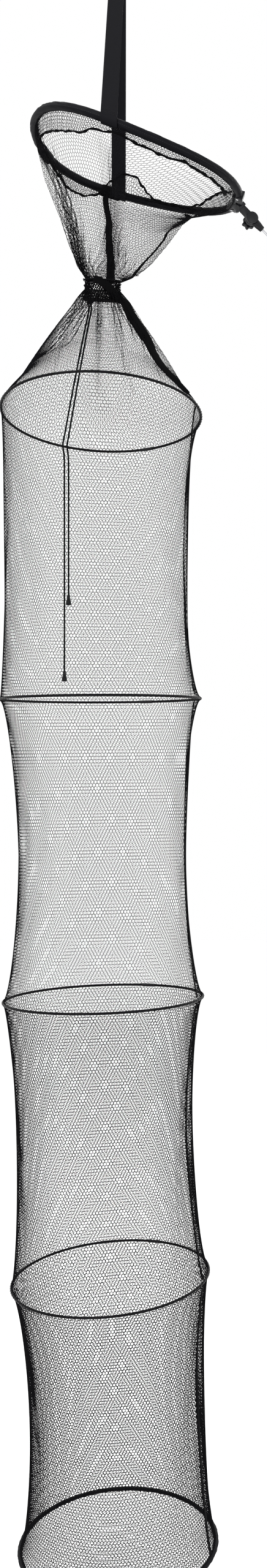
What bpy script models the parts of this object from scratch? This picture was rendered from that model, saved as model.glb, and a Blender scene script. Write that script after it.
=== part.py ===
"""Keep net: a hooped bag of fine net that hangs by its strap under a sprung head rim.

Metres, +Z up, the near side towards -Y. The origin is where a hook bears under the top of the strap.
"""

import math

import bmesh
import bpy
import numpy as np
from mathutils import Matrix, Vector

for old in list(bpy.data.objects):
    bpy.data.objects.remove(old, do_unlink=True)

# Gaps between touching pieces
CLEAR = 0.0003
CLOTH_CLEAR = 0.0005
STRAP_EASE = 0.0013
STRAP_OVAL_SHARE = 1.08
OVERRUN = 0.002

# Handle strap
STRAP_WIDTH = 0.028
STRAP_THICK = 0.0018
HOOK_RADIUS = 0.013
STRAP_TAIL = 0.016
STRAP_NEAR_SIDE = -0.0155
STRAP_FAR_SIDE = -0.004
WRAP_TURN = math.radians(240)
WRAP_STEPS = 10
BEND_STEPS = 6
LEG_STEPS = 5

# Head rim: a hoop of tube that hangs tilted and a little sprung out of flat
HEAD_DROP = 0.4112
HEAD_SIDE = 0.0348
RIM_RADIUS = 0.2115
RIM_PITCH = math.radians(6.2)
RIM_ROLL = math.radians(18.3)
RIM_SAG = 0.0033
RIM_TWIST = 0.0074
RIM_WAVE = -0.0046
TUBE_RADIUS = 0.0058
TUBE_WALL = 0.0012
SLEEVE_THICK = 0.0012
SLEEVE_SLIT = 0.0022
RIM_STEPS = 40

SLEEVE_SIDES = 8

# Tab wrapped round the rim on the left, one step of the rim long
TAB_ANGLE = math.radians(157)
TAB_THICK = 0.0015

# Lip net inside the mouth, and its bound edge
LIP_TOP = 0.004
LIP_HEIGHT = 0.009
LIP_THICK = 0.0012
BINDING_HEIGHT = 0.0045
BINDING_THICK = 0.0026

# Frame block
NET_BLOCK_INSET = 0.0055
BLOCK_ANGLE = math.radians(6.5)
BLOCK_HALF_LENGTH = 0.046
BAR_DEPTH = 0.021
BAR_HEIGHT = 0.017
COLLAR_RADIUS = 0.0094
COLLAR_LENGTH = 0.016
SOCKET_DEPTH = 0.022
SLOT_LENGTH = 0.009
SLOT_WIDTH = 0.005
SLOT_SPACING = 0.013
EYE_RADIUS = 0.0075
EYE_DROP = 0.0053
EYE_WIRE = 0.0032
EYE_OUT = 0.0070
EYE_ALONG = 0.0090
EYE_SINK = math.radians(14)

# Knuckle, seen from the rim as an arm that points down and outwards. Each side has half of its thickness
ARM_YAW = math.radians(15.6)
ARM_TIP = math.radians(-5.2)
ARM_SLOPE = math.radians(43.5)
KNUCKLE_REACH = 0.0435
KNUCKLE_DROP = 0.0033
KNUCKLE_RADIUS = 0.0122
DISC_THICK = 0.0055
ARM_WIDTH = 0.0130
ARM_THICK = 0.0090
ROOT_WIDTH = 0.0150
ROOT_THICK = 0.0170
ROOT_LENGTH = 0.0060

# Collar screws
SCREW_RADIUS = 0.0015
SCREW_HEAD_RADIUS = 0.0028
SCREW_HEAD_HEIGHT = 0.0014
SCREW_LENGTH = 0.0018
SCREW_INSET = 0.008

# Pivot bolt, washer and knob
BOLT_RADIUS = 0.0029
BOLT_HEAD_RADIUS = 0.0052
BOLT_HEAD_HEIGHT = 0.0020
HEAD_COVER = 0.0012
WASHER_RADIUS = 0.0082
WASHER_THICK = 0.0010
KNOB_RADIUS = 0.0116
KNOB_LOBE = 0.0017
KNOB_LOBES = 6
KNOB_THICK = 0.0105
KNOB_FLANGE_RADIUS = 0.0088
KNOB_FLANGE_THICK = 0.0060
KNOB_EDGE_SHARES = (0.94, 1.0, 1.0, 0.90)
KNOB_HEIGHT_SHARES = (0.0, 0.17, 0.83, 1.0)
INSERT_RADIUS = 0.0052
INSERT_LENGTH = 0.0110

# Spike holder and ground spike, measured out from the pivot
BARREL_START = 0.0070
BARREL_ROOT = 0.0185
BARREL_END = 0.0306
BARREL_WIDTH = 0.0172
BARREL_ROOT_WIDTH = 0.0156
BARREL_END_RADIUS = 0.0056
BARREL_BEVEL = 0.0005
SPIKE_RADIUS = 0.00225
SPIKE_LENGTH = 0.350
SPIKE_POINT = 0.022
SPIKE_SEAT = 0.0150

# Neck
NECK_DROP = 0.2468
NECK_SIDE = -0.0320
NECK_RADIUS = 0.0370
NECK_HEIGHT = 0.0410
NECK_PITCH = math.radians(17)
NECK_ROLL = math.radians(3)
NECK_WALL = 0.0040
DRAWSTRING_RADIUS = 0.0018
KNOT_WIDTH = 0.0150
KNOT_HEIGHT = 0.0170
KNOT_WAIST_SHARE = 0.12
KNOT_ANGLE = math.radians(121)

# Hoops
HOOP_RADIUS = 0.1971
HOOP_WIRE = 0.0029
FERRULE_WALL = 0.0005
FERRULE_LENGTH = 0.030
FERRULE_ANGLE = math.radians(62)
FERRULE_GAP = 0.002
HOOP_STEPS = 36
CONE_DROP = 0.2439
SECTION_DROPS = (0.5609, 0.5922, 0.5578, 0.5444)
HOOP_SIDES = (-0.0345, -0.0360, -0.0307, -0.0172, -0.0014)
HOOP_BACKS = (0.0, 0.005, 0.010, 0.030, 0.055)
HOOP_PITCHES = tuple(math.radians(a) for a in (-7.2, 1.5, -0.9, 0.9, 1.3))
HOOP_ROLLS = tuple(math.radians(a) for a in (2.7, -0.2, -2.0, -5.1, -3.7))

# Net walls and seam tapes
NET_THICK = 0.0010
NET_INSET = 0.0006
NET_COLUMNS = 24
NET_STRIP = 0.0080
SEAM_COLUMN = NET_COLUMNS - 1
SEAM_ANGLE = math.radians(-22.5)
SECTION_WAISTS_LEFT = (0.0090, 0.0320, 0.0180, 0.0280)
SECTION_WAISTS_RIGHT = (0.0310, 0.0310, 0.0260, 0.0180)
WAIST_FLATNESS = 0.6
SECTION_ROWS = 4
CONE_WAIST = 0.0050
FUNNEL_WAIST = 0.0100
FUNNEL_LEAN = 0.0150
FUNNEL_ROWS = 5
TAPE_WIDTH = 0.0090
TAPE_THICK = 0.0010
TAPE_MARGIN_SHARE = 0.03

# Bottom sleeve and flat bottom net
BOTTOM_SLEEVE_THICK = 0.0008
BOTTOM_CELLS = 10
BOTTOM_STRAND = 0.0040
BOTTOM_BORDER = 0.0050
BOTTOM_THICK = 0.0010

# Free strands of the drawstring: down outside the cone, over the first hoop's far side, and straight down
CORD_RADIUS = 0.0018
CORD_POINT_SPACING = 0.0100
SMOOTH_STEPS = 24
CORD_SHORT_ROUTE = (
    (-0.0552, 0.0457, -0.6710),
    (-0.0552, 0.0457, -0.6800),
    (-0.0623, 0.0634, -0.7081),
    (-0.0698, 0.0824, -0.7385),
    (-0.0772, 0.1012, -0.7692),
    (-0.0851, 0.1210, -0.8025),
    (-0.0927, 0.1403, -0.8360),
    (-0.1002, 0.1593, -0.8698),
    (-0.1060, 0.1739, -0.8965),
    (-0.1108, 0.1859, -0.9184),
    (-0.1095, 0.1911, -0.9268),
    (-0.1084, 0.1958, -0.9393),
    (-0.1080, 0.1975, -0.9564),
    (-0.1080, 0.1975, -1.0247),
    (-0.1080, 0.1975, -1.0930),
    (-0.1080, 0.1975, -1.1612),
    (-0.1080, 0.1975, -1.2295),
)
CORD_LONG_ROUTE = (
    (-0.0598, 0.0457, -0.6710),
    (-0.0598, 0.0457, -0.6800),
    (-0.0674, 0.0629, -0.7080),
    (-0.0755, 0.0815, -0.7383),
    (-0.0836, 0.0997, -0.7689),
    (-0.0920, 0.1190, -0.8020),
    (-0.1003, 0.1378, -0.8355),
    (-0.1083, 0.1562, -0.8692),
    (-0.1146, 0.1705, -0.8958),
    (-0.1197, 0.1821, -0.9176),
    (-0.1184, 0.1890, -0.9259),
    (-0.1172, 0.1952, -0.9385),
    (-0.1168, 0.1975, -0.9556),
    (-0.1168, 0.1975, -1.0644),
    (-0.1168, 0.1975, -1.1732),
    (-0.1168, 0.1975, -1.2821),
    (-0.1168, 0.1975, -1.3909),
)
BELL_LENGTH = 0.0220
BELL_TOP_RADIUS = 0.0032
BELL_FOOT_RADIUS = 0.0056
BELL_HOLLOW_SHARE = 0.75


def material(name, color, roughness, metallic=0.0):
    made = bpy.data.materials.new(name)
    made.use_nodes = True
    shader = made.node_tree.nodes["Principled BSDF"]
    shader.inputs["Base Color"].default_value = (*color, 1.0)
    shader.inputs["Roughness"].default_value = roughness
    shader.inputs["Metallic"].default_value = metallic
    return made


WEBBING = material("webbing", (0.020, 0.020, 0.024), 0.75)
SLEEVE_CLOTH = material("sleeve_cloth", (0.012, 0.012, 0.014), 0.85)
NET = material("net", (0.030, 0.030, 0.034), 0.70)
TAPE = material("tape", (0.010, 0.010, 0.012), 0.80)
CORD = material("cord", (0.008, 0.008, 0.010), 0.70)
MOULDING = material("moulding", (0.022, 0.022, 0.026), 0.42)
CORD_PLASTIC = material("cord_plastic", (0.012, 0.012, 0.014), 0.35)
HOOP_PLASTIC = material("hoop_plastic", (0.016, 0.016, 0.018), 0.38)
RIM_METAL = material("rim_metal", (0.40, 0.41, 0.43), 0.35, 1.0)
STEEL = material("steel", (0.62, 0.62, 0.64), 0.22, 1.0)
BRASS = material("brass", (0.70, 0.52, 0.24), 0.35, 1.0)


def place(name, points, faces, look, parent=None):
    """One mesh object whose points are given in its parent's frame."""
    mesh = bpy.data.meshes.new(name)
    mesh.from_pydata([tuple(p) for p in points], [], [tuple(f) for f in faces])
    shape = bmesh.new()
    shape.from_mesh(mesh)
    bmesh.ops.recalc_face_normals(shape, faces=list(shape.faces))
    shape.to_mesh(mesh)
    shape.free()
    mesh.materials.append(look)
    made = bpy.data.objects.new(name, mesh)
    made.parent = parent
    bpy.context.scene.collection.objects.link(made)
    mesh.shade_smooth()
    mesh.set_sharp_from_angle(angle=math.radians(35))
    return made


def helper(made):
    """Marks a shape that only cuts or joins another."""
    made.hide_render = True
    made.display_type = "WIRE"
    return made


def empty(name, matrix):
    made = bpy.data.objects.new(name, None)
    made.matrix_world = matrix
    bpy.context.scene.collection.objects.link(made)
    return made


def boolean(target, other, operation):
    change = target.modifiers.new(other.name, "BOOLEAN")
    change.operation = operation
    change.object = other
    change.solver = "EXACT"


def tube_faces(rows, columns, ends):
    """Faces of a grid of rows that each close round. ends is "caps", "ring" (a closed loop) or "open"."""
    faces = []
    last = rows if ends == "ring" else rows - 1
    for r in range(last):
        for c in range(columns):
            here, there = r * columns, (r + 1) % rows * columns
            after = (c + 1) % columns
            faces.append((here + c, here + after, there + after, there + c))
    if ends == "caps":
        faces.append(tuple(reversed(range(columns))))
        faces.append(tuple((rows - 1) * columns + c for c in range(columns)))
    return faces


def turned(name, profile, sides, look, parent=None, axis="Z"):
    """A solid turned about an axis. The profile is (radius, height) from the bottom middle to the top middle."""
    points, faces, rings = [], [], []
    for radius, height in profile:
        ring = []
        count = 1 if radius == 0 else sides
        for k in range(count):
            turn = math.tau * k / sides
            ring.append(len(points))
            points.append(Vector((radius * math.cos(turn), radius * math.sin(turn), height)))
        rings.append(ring)
    for low, high in zip(rings, rings[1:]):
        for k in range(sides):
            after = (k + 1) % sides
            corners = [low[k % len(low)], low[after % len(low)], high[after % len(high)], high[k % len(high)]]
            corners = list(dict.fromkeys(corners))
            if len(corners) > 2:
                faces.append(corners)
    if axis == "Y":
        points = [Vector((-p.x, p.z, p.y)) for p in points]
    if axis == "X":
        points = [Vector((p.z, p.x, p.y)) for p in points]
    return place(name, points, faces, look, parent)


def disc_profile(radius, low, high):
    return [(0, low), (radius, low), (radius, high), (0, high)]


def tube_profile(bore, radius, low, high):
    """Rings of a bored cylinder, closed on themselves, for round_loop."""
    return [(radius, low), (radius, high), (bore, high), (bore, low)]


def round_loop(name, profile, sides, look, parent=None, axis="Z"):
    """A closed profile of (radius, height), counter-clockwise seen with +radius to the right, turned full circle."""
    count = len(profile)
    points = []
    for k in range(sides):
        turn = math.tau * k / sides
        for radius, height in profile:
            points.append(Vector((radius * math.cos(turn), radius * math.sin(turn), height)))
    if axis == "Y":
        points = [Vector((-p.x, p.z, p.y)) for p in points]
    return place(name, points, tube_faces(sides, count, "ring"), look, parent)


def swept(name, stations, profile, look, closed, parent=None):
    """A profile of (out, up) carried along stations of (middle, out direction, up direction)."""
    points = [mid + out * u + up * v for mid, out, up in stations for u, v in profile]
    ends = "ring" if closed else "caps"
    return place(name, points, tube_faces(len(stations), len(profile), ends), look, parent)


def round_profile(radius, sides):
    return [
        (radius * math.cos(math.tau * (k + 0.5) / sides), -radius * math.sin(math.tau * (k + 0.5) / sides))
        for k in range(sides)
    ]


def corner_radius(flats, sides):
    """The radius of the corners of a round section whose flats lie at a radius."""
    return flats / math.cos(math.pi / sides)


def split_profile(inner, outer, slit):
    """A ring-shaped section with a narrow slit at its foot, between two corner radii."""
    half = slit / 2
    points = []
    for radius, way in ((outer, 1), (inner, -1)):
        start = math.asin(half / radius)
        turns = [start + (math.tau - 2 * start) * k / SLEEVE_SIDES for k in range(SLEEVE_SIDES + 1)]
        for turn in turns[::way]:
            points.append((-radius * math.sin(turn), -radius * math.cos(turn)))
    return points


def steps_between(start, end, steps):
    return [start + (end - start) * k / steps for k in range(steps + 1)]


def hoop_stations(radius, lift, turns):
    """Stations round a hoop in its own frame. lift gives the height of the hoop at an angle."""
    stations = []
    for turn in turns:
        out = Vector((math.cos(turn), math.sin(turn), 0))
        stations.append((out * radius + Vector((0, 0, lift(turn))), out, Vector((0, 0, 1))))
    return stations


def flat(turn):
    return 0.0


def rim_lift(turn):
    """How far the sprung rim stands out of its own plane."""
    return (
        RIM_SAG * math.cos(2 * turn)
        + RIM_TWIST * math.sin(2 * turn)
        + RIM_WAVE * math.sin(3 * turn)
    )


def tilted(middle, pitch, roll):
    return Matrix.Translation(middle) @ Matrix.Rotation(roll, 4, "Y") @ Matrix.Rotation(pitch, 4, "X")


RIM_MATRIX = tilted(Vector((HEAD_SIDE, 0, -HEAD_DROP)), RIM_PITCH, RIM_ROLL)
NECK_MIDDLE = Vector((NECK_SIDE, 0, -HEAD_DROP - NECK_DROP))
NECK_MATRIX = tilted(NECK_MIDDLE, NECK_PITCH, NECK_ROLL)
HOOP_HEIGHTS = [NECK_MIDDLE.z - CONE_DROP]
for drop in SECTION_DROPS:
    HOOP_HEIGHTS.append(HOOP_HEIGHTS[-1] - drop)
HOOP_MATRICES = [
    tilted(Vector((side, back, height)), pitch, roll)
    for side, back, height, pitch, roll in zip(
        HOOP_SIDES, HOOP_BACKS, HOOP_HEIGHTS, HOOP_PITCHES, HOOP_ROLLS
    )
]
RIM = empty("rim_frame", RIM_MATRIX)
NECK = empty("neck_frame", NECK_MATRIX)
HOOPS = [empty(f"hoop_{n}_frame", matrix) for n, matrix in enumerate(HOOP_MATRICES, 1)]

SLEEVE_INNER = corner_radius(TUBE_RADIUS + CLEAR, SLEEVE_SIDES)
SLEEVE_OUTER = SLEEVE_INNER + SLEEVE_THICK
FERRULE_BORE = HOOP_WIRE + CLEAR
FERRULE_OUTER = FERRULE_BORE + FERRULE_WALL
BOTTOM_SLEEVE_INNER = corner_radius(FERRULE_OUTER + CLEAR, SLEEVE_SIDES)
BOTTOM_SLEEVE_OUTER = BOTTOM_SLEEVE_INNER + BOTTOM_SLEEVE_THICK
BLOCK_HALF_ANGLE = BLOCK_HALF_LENGTH / RIM_RADIUS
SOCKET_ANGLE = SOCKET_DEPTH / RIM_RADIUS
BLOCK_LOW = BLOCK_ANGLE - BLOCK_HALF_ANGLE
BLOCK_HIGH = BLOCK_ANGLE + BLOCK_HALF_ANGLE
RIM_TURNS = steps_between(BLOCK_HIGH, math.tau + BLOCK_LOW, RIM_STEPS)


def rim_point(turn):
    """The middle of the rim tube at an angle round it, in world space."""
    local = Vector((RIM_RADIUS * math.cos(turn), RIM_RADIUS * math.sin(turn), rim_lift(turn)))
    return RIM_MATRIX @ local


def rim_stations(turns):
    return hoop_stations(RIM_RADIUS, rim_lift, turns)


def beside(turn, place, half):
    """One along a piece on the rim and one net column past its ends, falling to nothing at the next column."""
    away = abs((turn - place + math.pi) % math.tau - math.pi)
    return min(1, max(0, (half + 2 * COLUMN_STEP - away) / COLUMN_STEP))


def strap_turn(side, way):
    """The angle round the rim where the strap crosses it at a place across."""
    turn = way * math.pi / 2
    for _ in range(20):
        turn += way * (rim_point(turn).x - side) / RIM_RADIUS
    return turn


COLUMN_STEP = math.tau / NET_COLUMNS
STRAP_SPAN = STRAP_WIDTH / RIM_RADIUS / 2
STRAP_TURNS = (strap_turn(STRAP_NEAR_SIDE, -1), strap_turn(STRAP_FAR_SIDE, 1))
TAB_INNER = corner_radius(SLEEVE_OUTER + CLOTH_CLEAR, SLEEVE_SIDES)
TAB_STEP = max(k for k, turn in enumerate(RIM_TURNS) if turn < TAB_ANGLE)
STRAP_COVER = (SLEEVE_OUTER + STRAP_EASE + STRAP_THICK) * STRAP_OVAL_SHARE
COVERS = (
    (BLOCK_ANGLE, BLOCK_HALF_ANGLE, BAR_DEPTH / 2),
    (STRAP_TURNS[0], STRAP_SPAN, STRAP_COVER),
    (STRAP_TURNS[1], STRAP_SPAN, STRAP_COVER),
    ((RIM_TURNS[TAB_STEP] + RIM_TURNS[TAB_STEP + 1]) / 2, math.pi / RIM_STEPS, TAB_INNER + TAB_THICK),
)


def cover(turn):
    """How far what lies on the rim stands out from the rim's middle."""
    return SLEEVE_OUTER + max((reach - SLEEVE_OUTER) * beside(turn, place, half) for place, half, reach in COVERS)


# Head rim
def hollow_tube(name, stations, outer, inner, look, parent):
    """A bored tube along stations, open at both ends."""
    rows = [[mid + out * u + up * v for u, v in outer] for mid, out, up in stations]
    rows += [[mid + out * u + up * v for u, v in inner] for mid, out, up in reversed(stations)]
    points = [p for row in rows for p in row]
    return place(name, points, tube_faces(len(rows), len(outer), "ring"), look, parent)


def make_head_frame_tube():
    """The tube reaches into the block at both ends."""
    turns = [BLOCK_HIGH - SOCKET_ANGLE, *RIM_TURNS, math.tau + BLOCK_LOW + SOCKET_ANGLE]
    outer = round_profile(TUBE_RADIUS, 8)
    inner = round_profile(TUBE_RADIUS - TUBE_WALL, 8)
    hollow_tube("head_frame_tube", rim_stations(turns), outer, inner, RIM_METAL, RIM)


def make_rim_sleeve():
    gap = CLOTH_CLEAR / RIM_RADIUS
    turns = [RIM_TURNS[0] + gap, *RIM_TURNS[1:-1], RIM_TURNS[-1] - gap]
    profile = split_profile(SLEEVE_INNER, SLEEVE_OUTER, SLEEVE_SLIT)
    swept("rim_sleeve", rim_stations(turns), profile, SLEEVE_CLOTH, False, RIM)


def make_rim_tab():
    profile = split_profile(TAB_INNER, TAB_INNER + TAB_THICK, SLEEVE_SLIT)
    swept("rim_tab", rim_stations(RIM_TURNS[TAB_STEP : TAB_STEP + 2]), profile, WEBBING, False, RIM)


def band_profile(out, top, thick, height):
    return [(out, top), (out - thick, top), (out - thick, top - height), (out, top - height)]


def make_lip():
    """The strip of net inside the rim, and the tape that binds its lower edge."""
    stations = []
    for mid, out, up in rim_stations(steps_between(0, math.tau, RIM_STEPS)[:-1]):
        inset = cover(math.atan2(mid.y, mid.x)) + CLOTH_CLEAR
        stations.append((mid - out * inset, out, up))
    spread = (BINDING_THICK - LIP_THICK) / 2
    net = band_profile(-spread, LIP_TOP, LIP_THICK, LIP_HEIGHT)
    swept("lip_net", stations, net, NET, True, RIM)
    binding = band_profile(0, LIP_TOP - LIP_HEIGHT - CLEAR, BINDING_THICK, BINDING_HEIGHT)
    swept("lip_binding", stations, binding, TAPE, True, RIM)


# Frame block and knuckle
KNUCKLE_TURN = (
    Matrix.Rotation(ARM_YAW, 4, "Z") @ Matrix.Rotation(ARM_TIP, 4, "X") @ Matrix.Rotation(ARM_SLOPE, 4, "Y")
)
KNUCKLE_MIDDLE = rim_point(BLOCK_ANGLE) + KNUCKLE_TURN @ Vector((KNUCKLE_REACH, 0, -KNUCKLE_DROP))
KNUCKLE = empty("knuckle_frame", Matrix.Translation(KNUCKLE_MIDDLE) @ KNUCKLE_TURN)


def box(name, low, high, look, parent):
    """A plain block between two corners."""
    xs, ys, zs = zip(low, high)
    points = [(x, y, z) for x in xs for y in ys for z in zs]
    faces = [(0, 1, 3, 2), (4, 6, 7, 5), (0, 4, 5, 1), (2, 3, 7, 6), (0, 2, 6, 4), (1, 5, 7, 3)]
    return place(name, points, faces, look, parent)


def bar_shape(name, start, end, steps, profile):
    return swept(name, rim_stations(steps_between(start, end, steps)), profile, MOULDING, False, RIM)


def make_frame_block():
    """A curved bar with a collar at each end, an arm to the knuckle disc, and a small eye underneath."""
    low, high = BLOCK_LOW, BLOCK_HIGH
    collar = COLLAR_LENGTH / RIM_RADIUS
    inset = OVERRUN / RIM_RADIUS
    half_depth, half_height = BAR_DEPTH / 2, BAR_HEIGHT / 2
    bar = [(half_depth, half_height), (half_depth, -half_height), (-half_depth, -half_height), (-half_depth, half_height)]
    block = bar_shape("frame_block", low + inset, high - inset, 6, bar)
    joined = [
        bar_shape("near_collar", low, low + collar, 2, round_profile(COLLAR_RADIUS, 16)),
        bar_shape("far_collar", high - collar, high, 2, round_profile(COLLAR_RADIUS, 16)),
    ]
    bar_end = -KNUCKLE_REACH + BAR_DEPTH / 2
    low_corner = (-KNUCKLE_REACH, -ROOT_THICK / 2, -ROOT_WIDTH / 2)
    high_corner = (bar_end + ROOT_LENGTH, ROOT_THICK / 2, ROOT_WIDTH / 2)
    joined.append(box("arm_root", low_corner, high_corner, MOULDING, KNUCKLE))
    low_corner = (-KNUCKLE_REACH, -ARM_THICK / 2, -ARM_WIDTH / 2)
    joined.append(box("arm_tongue", low_corner, (0, ARM_THICK / 2, ARM_WIDTH / 2), MOULDING, KNUCKLE))
    disc = disc_profile(KNUCKLE_RADIUS, -DISC_THICK, CLEAR)
    joined.append(turned("near_disc", disc, 24, MOULDING, KNUCKLE, "Y"))
    joined.append(block_eye())
    cut = []
    cutter = round_profile(TUBE_RADIUS + 2 * CLEAR, 8)
    socket = SOCKET_ANGLE + inset / 2
    cut.append(bar_shape("near_socket", low - inset / 2, low + socket, 1, cutter))
    cut.append(bar_shape("far_socket", high - socket, high + inset / 2, 1, cutter))
    room = disc_profile(KNUCKLE_RADIUS + 2 * CLEAR, -CLEAR / 2, ARM_THICK)
    cut.append(turned("holder_room", room, 24, MOULDING, KNUCKLE, "Y"))
    pocket = -DISC_THICK + HEAD_COVER
    bore = [
        (0, pocket),
        (BOLT_HEAD_RADIUS + CLEAR, pocket),
        (BOLT_HEAD_RADIUS + CLEAR, pocket + BOLT_HEAD_HEIGHT + 2 * CLEAR),
        (BOLT_RADIUS + CLEAR, pocket + BOLT_HEAD_HEIGHT + 2 * CLEAR),
        (BOLT_RADIUS + CLEAR, OVERRUN),
        (0, OVERRUN),
    ]
    cut.append(turned("bolt_bore", bore, 16, MOULDING, KNUCKLE, "Y"))
    for number, side in enumerate((-1, 1), 1):
        turn = BLOCK_ANGLE + side * SLOT_SPACING / RIM_RADIUS
        half = SLOT_LENGTH / RIM_RADIUS / 2
        tall = half_height + OVERRUN
        slot = [(SLOT_WIDTH / 2, tall), (SLOT_WIDTH / 2, -tall), (-SLOT_WIDTH / 2, -tall), (-SLOT_WIDTH / 2, tall)]
        cut.append(bar_shape(f"slot_{number}", turn - half, turn + half, 1, slot))
    for number, turn in enumerate(SCREW_ANGLES, 1):
        cut.append(screw_shape(f"screw_hole_{number}", turn, CLEAR, OVERRUN))
    for piece in joined:
        boolean(block, helper(piece), "UNION")
    for piece in cut:
        boolean(block, helper(piece), "DIFFERENCE")


def block_eye():
    """The moulded eye under the block, for a lanyard."""
    steps = 9
    middle = Vector((RIM_RADIUS + EYE_OUT, 0, -BAR_HEIGHT / 2))
    turned_to = Matrix.Rotation(BLOCK_ANGLE + EYE_ALONG / RIM_RADIUS, 4, "Z")
    stations = []
    for turn in steps_between(-EYE_SINK, math.pi + EYE_SINK, steps):
        out = Vector((0, EYE_DROP * math.cos(turn), -EYE_RADIUS * math.sin(turn))).normalized()
        mid = middle + Vector((0, EYE_RADIUS * math.cos(turn), -EYE_DROP * math.sin(turn)))
        stations.append((turned_to @ mid, turned_to @ out, turned_to @ Vector((1, 0, 0))))
    return swept("block_eye", stations, round_profile(EYE_WIRE / 2, 6), MOULDING, False, RIM)


SCREW_ANGLES = (BLOCK_LOW + SCREW_INSET / RIM_RADIUS, BLOCK_HIGH - SCREW_INSET / RIM_RADIUS)


def screw_shape(name, turn, grow, overrun):
    """A pan-headed screw that points up at the rim tube from below. The hole for it is the same shape grown."""
    tip = -TUBE_RADIUS - CLEAR + (CLEAR + overrun if grow else -CLEAR)
    seat = -TUBE_RADIUS - CLEAR - SCREW_LENGTH
    foot = seat - SCREW_HEAD_HEIGHT - (COLLAR_RADIUS if grow else 0)
    profile = [
        (0, foot),
        (SCREW_HEAD_RADIUS + grow, foot),
        (SCREW_HEAD_RADIUS + grow, seat + grow),
        (SCREW_RADIUS + grow, seat + grow),
        (SCREW_RADIUS + grow, tip),
        (0, tip),
    ]
    made = turned(name, profile, 10, STEEL, RIM)
    out = Vector((math.cos(turn), math.sin(turn), 0))
    made.location = out * RIM_RADIUS + Vector((0, 0, rim_lift(turn)))
    return made


def make_screws():
    for name, turn in zip(("near_collar_screw", "far_collar_screw"), SCREW_ANGLES):
        screw_shape(name, turn, 0, 0)


DISC_FAR = DISC_THICK
WASHER_FAR = DISC_FAR + CLEAR + WASHER_THICK
KNOB_NEAR = WASHER_FAR + CLEAR
KNOB_FAR = KNOB_NEAR + KNOB_FLANGE_THICK + KNOB_THICK


def make_pivot_bolt():
    head_low = -DISC_THICK + HEAD_COVER + CLEAR
    head_high = head_low + BOLT_HEAD_HEIGHT
    profile = [
        (0, head_low),
        (BOLT_HEAD_RADIUS, head_low),
        (BOLT_HEAD_RADIUS, head_high),
        (BOLT_RADIUS, head_high),
        (BOLT_RADIUS, KNOB_NEAR + INSERT_LENGTH),
        (0, KNOB_NEAR + INSERT_LENGTH),
    ]
    turned("pivot_bolt", profile, 12, STEEL, KNUCKLE, "Y")


def make_washer():
    bore = BOLT_RADIUS + CLEAR
    low, high = DISC_FAR + CLEAR, WASHER_FAR
    round_loop("pivot_washer", tube_profile(bore, WASHER_RADIUS, low, high), 16, STEEL, KNUCKLE, "Y")


def make_star_knob():
    """The flange, the lobed body, and the blind hole for its insert."""
    steps = KNOB_LOBES * 8
    low = KNOB_NEAR + KNOB_FLANGE_THICK
    points = []
    for height_share, edge_share in zip(KNOB_HEIGHT_SHARES, KNOB_EDGE_SHARES):
        for k in range(steps):
            turn = math.tau * k / steps
            radius = (KNOB_RADIUS + KNOB_LOBE * math.cos(KNOB_LOBES * turn)) * edge_share
            points.append((-radius * math.cos(turn), low + KNOB_THICK * height_share, radius * math.sin(turn)))
    knob = place("star_knob", points, tube_faces(4, steps, "caps"), MOULDING, KNUCKLE)
    flange = turned(
        "knob_flange", disc_profile(KNOB_FLANGE_RADIUS, KNOB_NEAR, low + OVERRUN), 24, MOULDING, KNUCKLE, "Y"
    )
    boolean(knob, helper(flange), "UNION")
    depth = KNOB_NEAR + INSERT_LENGTH + CLEAR
    hole = turned(
        "insert_hole", disc_profile(INSERT_RADIUS + CLEAR, KNOB_NEAR - OVERRUN, depth), 6, MOULDING, KNUCKLE, "Y"
    )
    boolean(knob, helper(hole), "DIFFERENCE")
    bore = corner_radius(BOLT_RADIUS + CLEAR, 6)
    insert = tube_profile(bore, INSERT_RADIUS, KNOB_NEAR, KNOB_NEAR + INSERT_LENGTH)
    round_loop("knob_insert", insert, 6, BRASS, KNUCKLE, "Y")


def make_spike_holder():
    """A knuckle disc that runs out into a barrel, bored for the spike."""
    disc = disc_profile(KNUCKLE_RADIUS, -CLEAR, DISC_FAR)
    holder = turned("spike_holder", disc, 24, MOULDING, KNUCKLE, "Y")
    shapes = (
        (BARREL_START, ARM_THICK / 2, BARREL_WIDTH / 2),
        (KNUCKLE_RADIUS, ARM_THICK / 2, BARREL_WIDTH / 2),
        (BARREL_ROOT, BARREL_END_RADIUS, BARREL_ROOT_WIDTH / 2),
        (BARREL_END - BARREL_BEVEL, BARREL_END_RADIUS, BARREL_END_RADIUS),
        (BARREL_END, BARREL_END_RADIUS - BARREL_BEVEL, BARREL_END_RADIUS - BARREL_BEVEL),
    )
    sides = 20
    points = []
    for along, deep, wide in shapes:
        for k in range(sides):
            turn = math.tau * (k + 0.5) / sides
            points.append((along, deep * math.cos(turn), wide * math.sin(turn)))
    barrel = place("barrel", points, tube_faces(len(shapes), sides, "caps"), MOULDING, KNUCKLE)
    boolean(holder, helper(barrel), "UNION")
    room = disc_profile(KNUCKLE_RADIUS + 2 * CLEAR, -ARM_THICK, CLEAR / 2)
    bore = disc_profile(BOLT_RADIUS + CLEAR, -OVERRUN, DISC_FAR + OVERRUN)
    seat = disc_profile(SPIKE_RADIUS + CLEAR, BARREL_END - SPIKE_SEAT - CLEAR, BARREL_END + OVERRUN)
    boolean(holder, helper(turned("block_room", room, 24, MOULDING, KNUCKLE, "Y")), "DIFFERENCE")
    boolean(holder, helper(turned("holder_bolt_bore", bore, 16, MOULDING, KNUCKLE, "Y")), "DIFFERENCE")
    boolean(holder, helper(turned("spike_socket", seat, 12, MOULDING, KNUCKLE, "X")), "DIFFERENCE")


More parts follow.
